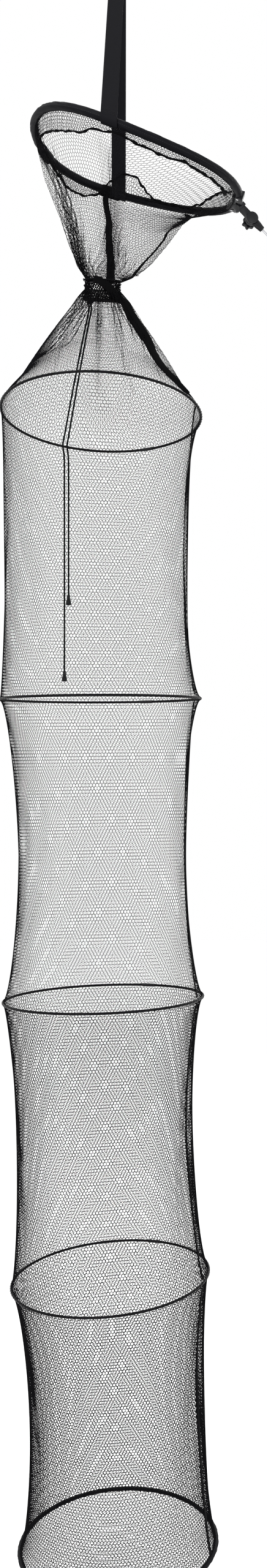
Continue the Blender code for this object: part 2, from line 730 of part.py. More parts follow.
def make_ground_spike():
    start = BARREL_END - SPIKE_SEAT
    tip = start + SPIKE_LENGTH
    profile = [(0, start), (SPIKE_RADIUS, start), (SPIKE_RADIUS, tip - SPIKE_POINT), (0, tip)]
    turned("ground_spike", profile, 12, STEEL, KNUCKLE, "X")


# Handle strap
def strap_foot(far):
    """The rim's middle and its run where a leg of the strap is wrapped round it."""
    way, turn = (1 if far else -1), STRAP_TURNS[1 if far else 0]
    before, after = rim_point(turn - way * STRAP_SPAN), rim_point(turn + way * STRAP_SPAN)
    return (before + after + 2 * rim_point(turn)) / 4, (before - after).normalized()


def leg_path(far):
    """Points of one leg from the top of the loop to its sewn tail, each with its way across."""
    middle, run = strap_foot(far)
    way = 1 if far else -1
    bend = HOOK_RADIUS + STRAP_THICK / 2
    wrap = SLEEVE_OUTER + STRAP_EASE + STRAP_THICK / 2
    reach, drop = abs(middle.y), -middle.z - HOOK_RADIUS
    lean = math.atan2(reach, drop) + math.asin((wrap - bend) / math.hypot(reach, drop))

    def round_rim(turn):
        """A point of the wrap: the rim runs at a slant through this plane, so the wrap is an oval in it."""
        out = Vector((math.cos(turn), math.sin(turn)))
        slant = out.x * way * run.y + out.y * run.z
        return foot + out * wrap / math.sqrt(1 - slant**2)

    along = Vector((math.sin(lean), -math.cos(lean)))
    out = Vector((math.cos(lean), math.sin(lean)))
    top = Vector((0, -HOOK_RADIUS))
    foot = Vector((reach, middle.z))
    points = []
    for k in range(BEND_STEPS):
        turn = math.pi / 2 - (math.pi / 2 - lean) * k / BEND_STEPS
        points.append(top + bend * Vector((math.cos(turn), math.sin(turn))))
    first, last = top + out * bend, round_rim(lean)
    points += [first.lerp(last, k / LEG_STEPS) for k in range(LEG_STEPS + 1)]
    points += [round_rim(lean - WRAP_TURN * k / WRAP_STEPS) for k in range(1, WRAP_STEPS + 1)]
    back = Vector((math.sin(lean - WRAP_TURN), -math.cos(lean - WRAP_TURN)))
    joined = (last - points[-1]).dot(out) - STRAP_THICK - CLOTH_CLEAR
    points.append(points[-1] + back * (joined / back.dot(out)))
    points.append(points[-1] - along * STRAP_TAIL)
    path = []
    for p in points:
        share = min(1, max(0, p.y / middle.z))
        across = Vector((1, 0, 0)).lerp(run / run.x, share)
        path.append((Vector((middle.x * share, way * p.x, p.y)), across))
    return path


def make_handle_strap():
    """One length of webbing: near tail, near wrap, over the hook, far wrap, far tail."""
    path = list(reversed(leg_path(False))) + leg_path(True)[1:]
    points = []
    for k, (here, across) in enumerate(path):
        before, after = path[max(k - 1, 0)][0], path[min(k + 1, len(path) - 1)][0]
        first = (here - before).normalized() if k else (after - here).normalized()
        second = (after - here).normalized() if k < len(path) - 1 else first
        along = (first + second).normalized()
        face = Vector((0, along.z, -along.y)).normalized()
        thick = STRAP_THICK / max(0.3, along.dot(first))
        for u, v in ((0.5, 0.5), (0.5, -0.5), (-0.5, -0.5), (-0.5, 0.5)):
            points.append(here + across * (u * STRAP_WIDTH) + face * (v * thick))
    place("handle_strap", points, tube_faces(len(path), 4, "caps"), WEBBING)


# Net walls
def column_turns():
    return [SEAM_ANGLE + (k + 0.5) * COLUMN_STEP for k in range(NET_COLUMNS)]


def ring_at(matrix, radius, height, lift=flat, inset=flat):
    """A function from an angle to a point of a hoop's net edge, in world space."""

    def at(turn):
        reach = radius - inset(turn)
        return matrix @ Vector((reach * math.cos(turn), reach * math.sin(turn), height + lift(turn)))

    return at


def open_cell(points, faces, sides, foot, top):
    """An opening through one cell of a wall. sides are the numbers of its outer and its inner corners, and
    foot and top the depths of net that stay below and above it."""
    loops = []
    for corners in sides:
        a, b, c, d = (points[k] for k in corners)
        edge = NET_STRIP / 2 / (b - a).length
        first = foot / (d - a).length
        last = 1 - top / (d - a).length
        loop = []
        for u, v in ((edge, first), (1 - edge, first), (1 - edge, last), (edge, last)):
            loop.append(len(points))
            points.append(a.lerp(b, u).lerp(d.lerp(c, u), v))
        loops.append(loop)
    for one, other in ((sides[0], loops[0]), (sides[1], loops[1]), loops):
        for k in range(4):
            after = (k + 1) % 4
            faces.append((one[k], one[after], other[after], other[k]))


def net_wall(name, upper, lower, rows, pull, closed_column=None):
    """A thin wall of net between two edges. pull(share, turn) moves a point inwards and up. If a closed
    column is given, every cell outside it has an opening."""
    turns = column_turns()
    outer, inner = [], []
    for r in range(rows + 1):
        share = r / rows
        for turn in turns:
            out = Vector((math.cos(turn), math.sin(turn), 0))
            inwards, rise = pull(share, turn)
            point = upper(turn).lerp(lower(turn), share) - out * inwards + Vector((0, 0, rise))
            outer.append(point)
            inner.append(point - out * NET_THICK)
    points = outer + inner
    behind = len(outer)
    faces = []
    for r in range(rows):
        here, below = r * NET_COLUMNS, (r + 1) * NET_COLUMNS
        top = NET_STRIP if r == 0 else NET_STRIP / 2
        foot = NET_STRIP if r == rows - 1 else NET_STRIP / 2
        for c in range(NET_COLUMNS):
            after = (c + 1) % NET_COLUMNS
            outside = (below + c, below + after, here + after, here + c)
            inside = tuple(k + behind for k in outside)
            if closed_column in (None, c):
                faces += [outside, tuple(reversed(inside))]
            else:
                open_cell(points, faces, (outside, inside), foot, top)
    for edge in (0, rows * NET_COLUMNS):
        for c in range(NET_COLUMNS):
            after = (c + 1) % NET_COLUMNS
            faces.append((edge + c, edge + after, edge + after + behind, edge + c + behind))
    wall = place(name, points, faces, NET)
    return wall, outer


def seam_tape(name, outer, rows, column, width):
    """A flat tape outside one column of a net wall, between its margins."""
    points = []
    for r in range(rows + 1):
        a = outer[r * NET_COLUMNS + column]
        b = outer[r * NET_COLUMNS + (column + 1) % NET_COLUMNS]
        across = (b - a).normalized()
        middle = (a + b) / 2
        if r in (0, rows):
            other = r + 1 if r == 0 else r - 1
            c = outer[other * NET_COLUMNS + column]
            d = outer[other * NET_COLUMNS + (column + 1) % NET_COLUMNS]
            middle = middle.lerp((c + d) / 2, TAPE_MARGIN_SHARE)
        out = Vector((middle.x - NECK_SIDE, middle.y, 0))
        out = (out - across * out.dot(across)).normalized()
        for u, v in ((0.5, 0), (-0.5, 0), (-0.5, 1), (0.5, 1)):
            points.append(middle + across * (u * width) + out * (CLOTH_CLEAR + v * TAPE_THICK))
    return place(name, points, tube_faces(rows + 1, 4, "caps"), TAPE)


def waist(left, right):
    """A wall drawn in between its hoops, to its own depth on the left and on the right."""

    def pull(share, turn):
        depth = (right + left) / 2 + (right - left) / 2 * math.cos(turn)
        return depth * max(0, math.sin(math.pi * share)) ** WAIST_FLATNESS, 0.0

    return pull


def funnel_pull(share, turn):
    """The funnel hangs hollow, most on the low side by the block."""
    return (FUNNEL_WAIST + FUNNEL_LEAN * math.cos(turn)) * math.sin(math.pi * share), 0.0


def make_mouth_net():
    def edge_lift(turn):
        return rim_lift(turn) - cover(turn)

    def edge_inset(turn):
        return beside(turn, BLOCK_ANGLE, BLOCK_HALF_ANGLE) * NET_BLOCK_INSET

    upper = ring_at(RIM_MATRIX, RIM_RADIUS, -CLOTH_CLEAR, edge_lift, edge_inset)
    lower = ring_at(NECK_MATRIX, NECK_RADIUS, NECK_HEIGHT / 2 + CLOTH_CLEAR)
    _, outer = net_wall("mouth_net", upper, lower, FUNNEL_ROWS, funnel_pull)
    far = NET_COLUMNS // 4 + 1
    seam_tape("mouth_seam_tape", outer, FUNNEL_ROWS, far, TAPE_WIDTH)


def make_cone_net():
    upper = ring_at(NECK_MATRIX, NECK_RADIUS, -NECK_HEIGHT / 2 - CLOTH_CLEAR)
    lower = ring_at(HOOP_MATRICES[0], HOOP_RADIUS - NET_INSET, FERRULE_OUTER + CLEAR)
    _, outer = net_wall("cone_net", upper, lower, FUNNEL_ROWS, waist(CONE_WAIST, CONE_WAIST))
    seam_tape("cone_seam_tape", outer, FUNNEL_ROWS, SEAM_COLUMN, TAPE_WIDTH)


def make_net_sections():
    for n, (left, right) in enumerate(zip(SECTION_WAISTS_LEFT, SECTION_WAISTS_RIGHT)):
        foot = BOTTOM_SLEEVE_OUTER if n == len(SECTION_WAISTS_LEFT) - 1 else FERRULE_OUTER
        upper = ring_at(HOOP_MATRICES[n], HOOP_RADIUS - NET_INSET, -FERRULE_OUTER - CLEAR)
        lower = ring_at(HOOP_MATRICES[n + 1], HOOP_RADIUS - NET_INSET, foot + CLEAR)
        shape = waist(left, right)
        _, outer = net_wall(f"net_section_{n + 1}", upper, lower, SECTION_ROWS, shape, SEAM_COLUMN)
        seam_tape(f"seam_tape_{n + 1}", outer, SECTION_ROWS, SEAM_COLUMN, TAPE_WIDTH)


# Hoops
HALF_GAP = FERRULE_GAP / HOOP_RADIUS / 2
HALF_FERRULE = FERRULE_LENGTH / HOOP_RADIUS / 2
FERRULE_TURNS = [FERRULE_ANGLE + side for side in (-HALF_FERRULE, -HALF_GAP, HALF_GAP, HALF_FERRULE)]
HOOP_TURNS = steps_between(FERRULE_TURNS[-1], math.tau + FERRULE_TURNS[0], HOOP_STEPS)


def make_hoops():
    """Each rod is bent round until its ends meet inside a ferrule."""
    turns = [FERRULE_TURNS[2], *HOOP_TURNS, math.tau + FERRULE_TURNS[1]]
    rod = hoop_stations(HOOP_RADIUS, flat, turns)
    joint = hoop_stations(HOOP_RADIUS, flat, FERRULE_TURNS)
    outer, inner = round_profile(FERRULE_OUTER, 6), round_profile(FERRULE_BORE, 6)
    for n, frame in enumerate(HOOPS, 1):
        swept(f"hoop_{n}", rod, round_profile(HOOP_WIRE, 6), HOOP_PLASTIC, False, frame)
        hollow_tube(f"hoop_{n}_ferrule", joint, outer, inner, STEEL, frame)


def make_bottom_sleeve():
    profile = split_profile(BOTTOM_SLEEVE_INNER, BOTTOM_SLEEVE_OUTER, SLEEVE_SLIT)
    stations = hoop_stations(HOOP_RADIUS, flat, [*HOOP_TURNS, *[math.tau + t for t in FERRULE_TURNS[1:3]]])
    swept("bottom_sleeve", stations, profile, SLEEVE_CLOTH, True, HOOPS[-1])


def make_bottom_net():
    """A flat disc of net: square meshes on the bias inside a round border."""
    radius = (HOOP_RADIUS - BOTTOM_SLEEVE_OUTER) * math.cos(math.pi / HOOP_STEPS) - CLOTH_CLEAR
    pitch = 2 * (radius - BOTTOM_BORDER) / BOTTOM_CELLS
    half = (pitch - BOTTOM_STRAND) / 2
    corners = [Vector((radius * math.cos(math.tau * k / 36), radius * math.sin(math.tau * k / 36))) for k in range(36)]
    edges = [(k, (k + 1) % 36) for k in range(36)]
    reach = BOTTOM_CELLS
    for i in range(-reach, reach + 1):
        for j in range(-reach, reach + 1):
            middle = Vector(((i + j) * pitch / math.sqrt(2), (i - j) * pitch / math.sqrt(2)))
            if middle.length + half * math.sqrt(2) > radius - BOTTOM_BORDER:
                continue
            diagonal = half * math.sqrt(2)
            first = len(corners)
            for u, v in ((1, 0), (0, 1), (-1, 0), (0, -1)):
                corners.append(middle + Vector((u, v)) * diagonal)
            edges += [(first + k, first + (k + 1) % 4) for k in range(4)]
    print("bottom net gaps:", (len(corners) - 36) // 4)
    place("bottom_net", *filled(corners, edges), NET, HOOPS[-1])


def filled(corners, edges):
    """Fills the flat region between an outline and its holes, and gives it a thickness."""
    shape = bmesh.new()
    verts = [shape.verts.new((p.x, p.y, -BOTTOM_THICK / 2)) for p in corners]
    lines = [shape.edges.new((verts[a], verts[b])) for a, b in edges]
    bmesh.ops.triangle_fill(shape, use_beauty=True, edges=lines, normal=(0, 0, 1))
    made = bmesh.ops.extrude_face_region(shape, geom=list(shape.faces))
    lifted = [g for g in made["geom"] if isinstance(g, bmesh.types.BMVert)]
    bmesh.ops.translate(shape, verts=lifted, vec=(0, 0, BOTTOM_THICK))
    bmesh.ops.recalc_face_normals(shape, faces=list(shape.faces))
    shape.verts.index_update()
    points = [v.co.copy() for v in shape.verts]
    faces = [tuple(v.index for v in f.verts) for f in shape.faces]
    shape.free()
    return points, faces


# Neck and its drawstring
def make_neck():
    low, high = -NECK_HEIGHT / 2, NECK_HEIGHT / 2
    band = [(NECK_RADIUS, low), (NECK_RADIUS, high), (NECK_RADIUS - NECK_WALL, high), (NECK_RADIUS - NECK_WALL, low)]
    round_loop("neck_band", band, NET_COLUMNS, SLEEVE_CLOTH, NECK)
    ring = NECK_RADIUS + CLOTH_CLEAR + DRAWSTRING_RADIUS
    profile = [(ring + u, low + DRAWSTRING_RADIUS + v) for u, v in round_profile(DRAWSTRING_RADIUS, 6)]
    round_loop("neck_drawstring", profile[::-1], NET_COLUMNS, CORD, NECK)
    return ring


KNOT_OUT = NECK_RADIUS + 2 * CLOTH_CLEAR + 2 * DRAWSTRING_RADIUS + KNOT_WIDTH / 2
KNOT_MIDDLE = NECK_MATRIX @ Vector(
    (KNOT_OUT * math.cos(KNOT_ANGLE), KNOT_OUT * math.sin(KNOT_ANGLE), -NECK_HEIGHT / 2 + DRAWSTRING_RADIUS)
)


def make_neck_knot():
    """A doubled overhand knot: a lump with a waist, flat underneath where the strands leave it."""
    rows = 8
    profile = [(0, -KNOT_HEIGHT / 2)]
    for k in range(1, rows):
        turn = math.pi * k / rows
        swell = 1 - KNOT_WAIST_SHARE * math.sin(3 * turn) ** 2
        profile.append((KNOT_WIDTH / 2 * math.sin(turn) * swell, -KNOT_HEIGHT / 2 * math.cos(turn)))
    profile[1] = (profile[1][0], -KNOT_HEIGHT / 2)
    profile.append((0, KNOT_HEIGHT / 2))
    knot = turned("neck_knot", profile, 12, CORD)
    knot.location = KNOT_MIDDLE


def smooth_route(points, spacing):
    """A smooth curve through the given points, read off at even steps."""
    fine = []
    padded = [2 * points[0] - points[1], *points, 2 * points[-1] - points[-2]]
    for a, b, c, d in zip(padded, padded[1:], padded[2:], padded[3:]):
        reach = (c - b).length
        start = (c - a) * (reach / ((c - a).length))
        finish = (d - b) * (reach / ((d - b).length))
        for k in range(SMOOTH_STEPS):
            t = k / SMOOTH_STEPS
            fine.append(
                b * (2 * t**3 - 3 * t**2 + 1)
                + start * (t**3 - 2 * t**2 + t)
                + c * (3 * t**2 - 2 * t**3)
                + finish * (t**3 - t**2)
            )
    fine.append(points[-1])
    lengths = [0.0]
    for a, b in zip(fine, fine[1:]):
        lengths.append(lengths[-1] + (b - a).length)
    count = round(lengths[-1] / spacing)
    wanted = np.linspace(0, lengths[-1], count + 1)
    table = np.array([tuple(p) for p in fine])
    return np.stack([np.interp(wanted, lengths, table[:, axis]) for axis in range(3)], axis=1)


def make_strand(name, route):
    """A free strand and the bell-shaped end it carries."""
    points = smooth_route([Vector(point) for point in route], CORD_POINT_SPACING)
    curve = bpy.data.curves.new(f"cord_{name}", "CURVE")
    curve.dimensions = "3D"
    curve.bevel_depth = CORD_RADIUS
    curve.bevel_resolution = 2
    curve.render_resolution_u = 0
    curve.use_fill_caps = True
    line = curve.splines.new("POLY")
    line.points.add(len(points) - 1)
    for point, here in zip(line.points, points):
        point.co = (*here, 1)
    curve.materials.append(CORD)
    bpy.context.scene.collection.objects.link(bpy.data.objects.new(f"cord_{name}", curve))
    foot = BELL_FOOT_RADIUS
    profile = [
        (0, -BELL_LENGTH * (1 - BELL_HOLLOW_SHARE)),
        (foot * BELL_HOLLOW_SHARE, -BELL_LENGTH),
        (foot, -BELL_LENGTH),
        (foot, -BELL_LENGTH * BELL_HOLLOW_SHARE),
        ((foot + BELL_TOP_RADIUS) / 2, -BELL_LENGTH / 2),
        (BELL_TOP_RADIUS, -BELL_LENGTH / 4),
        (BELL_TOP_RADIUS, 0),
        (0, 0),
    ]
    bell = turned(f"cord_end_{name}", profile, 12, CORD_PLASTIC)
    bell.location = Vector(points[-1]) - Vector((0, 0, CLEAR))


make_head_frame_tube()
make_rim_sleeve()
make_rim_tab()
make_lip()
make_frame_block()
make_screws()
make_pivot_bolt()
make_washer()
make_star_knob()
make_spike_holder()
make_ground_spike()
make_handle_strap()
make_mouth_net()
make_neck()
make_neck_knot()
make_cone_net()
make_hoops()
make_net_sections()
make_bottom_sleeve()
make_bottom_net()
make_strand("short", CORD_SHORT_ROUTE)
make_strand("long", CORD_LONG_ROUTE)
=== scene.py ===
"""Looks of a keep net that hangs by its strap. Metres, +Z up, the near side towards -Y.

The sections follow the net as it is put together: the free strands, the head rim, its block and spike,
the strap, the mouth and neck, the hoops, the net between them, the bottom, and the studio.
"""

import math

import bmesh
import bpy
import numpy as np
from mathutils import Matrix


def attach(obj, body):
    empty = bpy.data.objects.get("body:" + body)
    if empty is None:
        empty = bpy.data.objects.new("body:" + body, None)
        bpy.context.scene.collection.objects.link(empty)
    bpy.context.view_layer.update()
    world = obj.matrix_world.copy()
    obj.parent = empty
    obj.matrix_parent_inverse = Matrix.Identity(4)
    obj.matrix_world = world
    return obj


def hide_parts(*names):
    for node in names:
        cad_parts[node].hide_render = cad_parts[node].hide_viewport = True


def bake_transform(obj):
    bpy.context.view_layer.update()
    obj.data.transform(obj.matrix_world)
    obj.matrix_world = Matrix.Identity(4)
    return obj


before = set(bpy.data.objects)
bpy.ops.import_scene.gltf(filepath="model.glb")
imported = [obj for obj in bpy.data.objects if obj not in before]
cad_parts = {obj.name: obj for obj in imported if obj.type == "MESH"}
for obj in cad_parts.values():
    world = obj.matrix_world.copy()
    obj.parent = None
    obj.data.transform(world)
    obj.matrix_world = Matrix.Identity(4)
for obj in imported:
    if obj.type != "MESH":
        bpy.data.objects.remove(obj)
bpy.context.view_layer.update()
TAU = math.tau

# Camera
# A level view from in front of the second section of the net, a little over two and a half metres away.
CAMERA_PLACE = (0.0296, -2.6576, -1.6308)
CAMERA_LENS_MM = 30.94

camera = bpy.data.objects.new("camera", bpy.data.cameras.new("camera"))
camera.location = CAMERA_PLACE
camera.rotation_euler = (math.radians(90), 0, 0)
camera.data.lens = CAMERA_LENS_MM
camera.data.clip_end = 50
bpy.context.scene.collection.objects.link(camera)
bpy.context.scene.camera = camera


# Free strands of the drawstring
# Both ends of one braided polyester cord run from the knot at the neck down outside the cone of net,
# over the first hoop on the far side, and hang straight down. Each ends in a moulded bell.
CORD_RADIUS = 0.0018
CORD_STEP = 0.003
CORD_SIDES = 10
CORD_COLOR = (0.006, 0.006, 0.007)
BRAID_PITCH = 0.0016
BRAID_RELIEF = 0.05
BELL_LENGTH = 0.0220
BELL_TOP_RADIUS = 0.0032
BELL_FOOT_RADIUS = 0.0056
BELL_LIP = 0.0006
BELL_SIDES = 28
BELL_COLOR = (0.008, 0.008, 0.009)
ROUTE_STEPS = 24
# Two points along a strand: where it leaves the neck for the first hoop, and where it has reached the hoop.
STRAND_SPAN = dict(start=(-0.0575, 0.0457, -0.680), end=(-0.113, 0.184, -0.918))
SHORT_ROUTE = (
    (-0.0552, 0.0457, -0.6710),
    (-0.0552, 0.0457, -0.6800),
    (-0.0623, 0.0634, -0.7081),
    (-0.0698, 0.0824, -0.7385),
    (-0.0772, 0.1012, -0.7692),
    (-0.0851, 0.1210, -0.8025),
    (-0.0927, 0.1403, -0.8360),
    (-0.1002, 0.1593, -0.8698),
    (-0.1060, 0.1739, -0.8965),
    (-0.1108, 0.1859, -0.9184),
    (-0.1095, 0.1911, -0.9268),
    (-0.1084, 0.1958, -0.9393),
    (-0.1080, 0.1975, -0.9564),
    (-0.1080, 0.1975, -1.0247),
    (-0.1080, 0.1975, -1.0930),
    (-0.1080, 0.1975, -1.1612),
    (-0.1080, 0.1975, -1.2295),
)
LONG_ROUTE = (
    (-0.0598, 0.0457, -0.6710),
    (-0.0598, 0.0457, -0.6800),
    (-0.0674, 0.0629, -0.7080),
    (-0.0755, 0.0815, -0.7383),
    (-0.0836, 0.0997, -0.7689),
    (-0.0920, 0.1190, -0.8020),
    (-0.1003, 0.1378, -0.8355),
    (-0.1083, 0.1562, -0.8692),
    (-0.1146, 0.1705, -0.8958),
    (-0.1197, 0.1821, -0.9176),
    (-0.1184, 0.1890, -0.9259),
    (-0.1172, 0.1952, -0.9385),
    (-0.1168, 0.1975, -0.9556),
    (-0.1168, 0.1975, -1.0644),
    (-0.1168, 0.1975, -1.1732),
    (-0.1168, 0.1975, -1.2821),
    (-0.1168, 0.1975, -1.3909),
)


def add_node(tree, kind, inputs=None, **settings):
    """A shader node with its fields set, and its inputs given a value or fed from another node's output."""
    made = tree.nodes.new(kind)
    for field, value in settings.items():
        setattr(made, field, value)
    for key, value in (inputs or {}).items():
        if isinstance(value, bpy.types.NodeSocket):
            tree.links.new(value, made.inputs[key])
        else:
            made.inputs[key].default_value = value
    return made


def new_group(name, inputs, outputs):
    """An empty shader group with named inputs of (name, kind, value) and named outputs of (name, kind)."""
    group = bpy.data.node_groups.new(name, "ShaderNodeTree")
    for label, kind, value in inputs:
        socket = group.interface.new_socket(label, in_out="INPUT", socket_type=kind)
        if value is not None:
            socket.default_value = value
    for label, kind in outputs:
        group.interface.new_socket(label, in_out="OUTPUT", socket_type=kind)
    return group, group.nodes.new("NodeGroupInput").outputs, group.nodes.new("NodeGroupOutput").inputs


def sum_node(tree, operation, *values):
    """One step of arithmetic on up to three values, each a number or another node's output."""
    return add_node(tree, "ShaderNodeMath", dict(enumerate(values)), operation=operation).outputs[0]


def make_wear_group():
    """Slow patches of lighter and duller surface: the colour times a soft noise, and a roughness."""
    group, given, out = new_group(
        "handling wear",
        [
            ("Vector", "NodeSocketVector", None),
            ("Color", "NodeSocketColor", (0.5, 0.5, 0.5, 1)),
            ("Patch Size", "NodeSocketFloat", 0.03),
            ("Amount", "NodeSocketFloat", 0.3),
            ("Roughness", "NodeSocketFloat", 0.5),
        ],
        [("Color", "NodeSocketColor"), ("Roughness", "NodeSocketFloat")],
    )
    scale = sum_node(group, "DIVIDE", 1.0, given["Patch Size"])
    noise = add_node(group, "ShaderNodeTexNoise", {"Vector": given["Vector"], "Scale": scale, "Detail": 4.0})
    centred = sum_node(group, "SUBTRACT", noise.outputs[0], 0.5)
    swing = sum_node(group, "MULTIPLY", centred, given["Amount"])
    gain = sum_node(group, "MULTIPLY_ADD", swing, 2.0, 1.0)
    tinted = add_node(group, "ShaderNodeVectorMath", {0: given["Color"], "Scale": gain}, operation="SCALE")
    group.links.new(tinted.outputs[0], out["Color"])
    group.links.new(sum_node(group, "MULTIPLY_ADD", swing, 0.5, given["Roughness"]), out["Roughness"])
    return group


def make_weave_group():
    """Yarns that pass over and under each other: a height and a shade from two crossed waves. The shade is
    painted shade and painted highlight, a factor on the colour from 0.75 in the valleys between yarns to 1.25
    on their crests.
    """
    group, given, out = new_group(
        "crossed yarns",
        [
            ("Vector", "NodeSocketVector", None),
            ("Yarn Across", "NodeSocketFloat", 0.001),
            ("Yarn Along", "NodeSocketFloat", 0.001),
            ("Slant", "NodeSocketFloat", 0.0),
        ],
        [("Height", "NodeSocketFloat"), ("Shade", "NodeSocketFloat")],
    )
    parts = add_node(group, "ShaderNodeSeparateXYZ", {0: given["Vector"]}).outputs
    slanted = sum_node(group, "MULTIPLY_ADD", parts[1], given["Slant"], parts[0])
    yarns = []
    for place, pitch in ((slanted, "Yarn Across"), (parts[1], "Yarn Along")):
        turn = sum_node(group, "MULTIPLY", sum_node(group, "DIVIDE", place, given[pitch]), math.pi)
        yarns.append(sum_node(group, "SINE", turn))
    height = sum_node(group, "MULTIPLY_ADD", sum_node(group, "MULTIPLY", *yarns), 0.5, 0.5)
    group.links.new(height, out["Height"])
    # Painted shade and highlight: the colour factor is 0.75 where the yarns dip and 1.25 where they rise.
    group.links.new(sum_node(group, "MULTIPLY_ADD", height, 0.5, 0.75), out["Shade"])
    return group


WEAR = make_wear_group()
WEAVE = make_weave_group()


def new_look(name, color, roughness, metallic=0.0, **sockets):
    """A material with its Principled shader set to plain values, and that shader."""
    look = bpy.data.materials.new(name)
    look.use_nodes = True
    shader = look.node_tree.nodes["Principled BSDF"]
    shader.inputs["Base Color"].default_value = (*color, 1)
    shader.inputs["Roughness"].default_value = roughness
    shader.inputs["Metallic"].default_value = metallic
    for label, value in sockets.items():
        shader.inputs[label.replace("_", " ")].default_value = value
    return look, shader


def add_wear(tree, shader, color, roughness, amount, patch):
    """Handling wear on Object coordinates for a shader's roughness. Returns the worn colour and the place."""
    place = add_node(tree, "ShaderNodeTexCoord").outputs["Object"]
    inputs = {
        "Vector": place,
        "Color": (*color, 1),
        "Patch Size": patch,
        "Amount": amount,
        "Roughness": roughness,
    }
    wear = add_node(tree, "ShaderNodeGroup", inputs, node_tree=WEAR).outputs
    tree.links.new(wear["Roughness"], shader.inputs["Roughness"])
    return wear["Color"], place


def add_bump(tree, shader, height, strength, depth):
    """A relief on a shader's surface from a height of 0 to 1, as deep as depth at strength 1."""
    bump = add_node(tree, "ShaderNodeBump", {"Height": height, "Strength": strength, "Distance": depth})
    tree.links.new(bump.outputs[0], shader.inputs["Normal"])


def cloth_look(name, color, roughness, across, along, slant=0.0, depth=0.0003, gloss=0.07):
    """Woven yarns on the piece's own UV map, which is in metres, with handling wear over them. The colour is
    painted darker in the valleys between yarns and lighter on their crests, as painted shade and painted
    highlight.
    """
    look, shader = new_look(name, color, roughness, Specular_IOR_Level=gloss)
    tree = look.node_tree
    uv = add_node(tree, "ShaderNodeUVMap", uv_map="surface").outputs[0]
    yarns = {"Vector": uv, "Yarn Across": across, "Yarn Along": along, "Slant": slant}
    weave = add_node(tree, "ShaderNodeGroup", yarns, node_tree=WEAVE).outputs
    worn, _ = add_wear(tree, shader, color, roughness, amount=0.35, patch=0.03)
    # The worn colour times the weave's painted shade: darker in the valleys, lighter on the crests.
    colour_with_painted_shade = add_node(tree, "ShaderNodeVectorMath", {0: worn, "Scale": weave["Shade"]}, operation="SCALE")
    tree.links.new(colour_with_painted_shade.outputs[0], shader.inputs["Base Color"])
    add_bump(tree, shader, weave["Height"], 0.6, depth)
    return look


def moulded_look(name, color, roughness, grain=0.0012, depth=0.00006, metallic=0.0, gloss=0.3):
    """A fine grain on Object coordinates, with handling wear."""
    look, shader = new_look(name, color, roughness, metallic, Specular_IOR_Level=0.5 if metallic else gloss)
    tree = look.node_tree
    worn, place = add_wear(tree, shader, color, roughness, amount=0.3, patch=0.012)
    tree.links.new(worn, shader.inputs["Base Color"])
    noise = add_node(tree, "ShaderNodeTexNoise", {"Vector": place, "Scale": 1 / grain, "Detail": 2.0})
    add_bump(tree, shader, noise.outputs[0], 0.5, depth)
    return look


def mesh_piece(name, corners, loops, starts, look, uv=None):
    """An object from whole arrays: its corners, its faces' corner numbers, and where each face starts."""
    mesh = bpy.data.meshes.new(name)
    mesh.vertices.add(len(corners))
    mesh.vertices.foreach_set("co", np.ascontiguousarray(corners, dtype=np.float32).ravel())
    mesh.loops.add(len(loops))
    mesh.loops.foreach_set("vertex_index", np.ascontiguousarray(loops, dtype=np.int32))
    mesh.polygons.add(len(starts))
    mesh.polygons.foreach_set("loop_start", np.ascontiguousarray(starts, dtype=np.int32))
    mesh.update(calc_edges=True)
    mesh.polygons.foreach_set("use_smooth", np.ones(len(starts), dtype=bool))
    if uv is not None:
        layer = mesh.uv_layers.new(name="surface")
        layer.uv.foreach_set("vector", np.ascontiguousarray(uv, dtype=np.float32).ravel())
    mesh.materials.append(look)
    piece = bpy.data.objects.new(name, mesh)
    bpy.context.scene.collection.objects.link(piece)
    return piece


def surface(name, grid, look, across=False, along=False, capped=False):
    """A mesh through a grid of points [row, column], a quad to each cell. across joins the last column to
    the first, along joins the last row to the first, and capped closes the two end rows. The UV map is
    the mean distance across and along, in metres. A closed one is turned to face outwards by its volume."""
    grid = np.asarray(grid, dtype=float)
    rows, columns = grid.shape[:2]
    number = np.arange(rows * columns).reshape(rows, columns)
    looped = np.pad(grid, ((0, int(along)), (0, int(across)), (0, 0)), mode="wrap")
    number = np.pad(number, ((0, int(along)), (0, int(across))), mode="wrap")
    u = np.append(0, np.cumsum(np.linalg.norm(np.diff(looped, axis=1), axis=2).mean(axis=0)))
    v = np.append(0, np.cumsum(np.linalg.norm(np.diff(looped, axis=0), axis=2).mean(axis=1)))

    def cells(values):
        """The four values round each cell, in the order of its corners."""
        values = np.broadcast_to(values, number.shape)
        four = (values[:-1, :-1], values[:-1, 1:], values[1:, 1:], values[1:, :-1])
        return np.stack(four, axis=-1).reshape(-1, 4)

    quads, uv = cells(number), np.stack([cells(u), cells(v[:, None])], axis=-1)
    corners = grid.reshape(-1, 3)
    ends = [number[0, :columns][::-1], number[-1, :columns]] if capped else []
    if across and (along or capped):
        a, b, c, d = (corners[quads[:, k]] - corners.mean(axis=0) for k in range(4))
        if np.einsum("ij,ij->", a, np.cross(b, c) + np.cross(c, d)) < 0:
            quads, uv, ends = quads[:, ::-1], uv[:, ::-1], [end[::-1] for end in ends]
    loops = np.concatenate([quads.ravel(), *ends])
    sizes = [4] * len(quads) + [len(end) for end in ends]
    starts = np.append(0, np.cumsum(sizes))[:-1]
    flat = np.concatenate([uv.reshape(-1, 2), *[np.zeros((len(end), 2)) for end in ends]])
    return mesh_piece(name, corners, loops, starts, look, flat)


def unit(vectors):
    """Vectors divided by their lengths."""
    return vectors / np.linalg.norm(vectors, axis=-1, keepdims=True)


def way_along(path, closed=False):
    """The unit direction of a path at each of its points, from the points on both sides."""
    if closed:
        return unit(np.roll(path, -1, axis=0) - np.roll(path, 1, axis=0))
    return unit(np.gradient(path, axis=0))


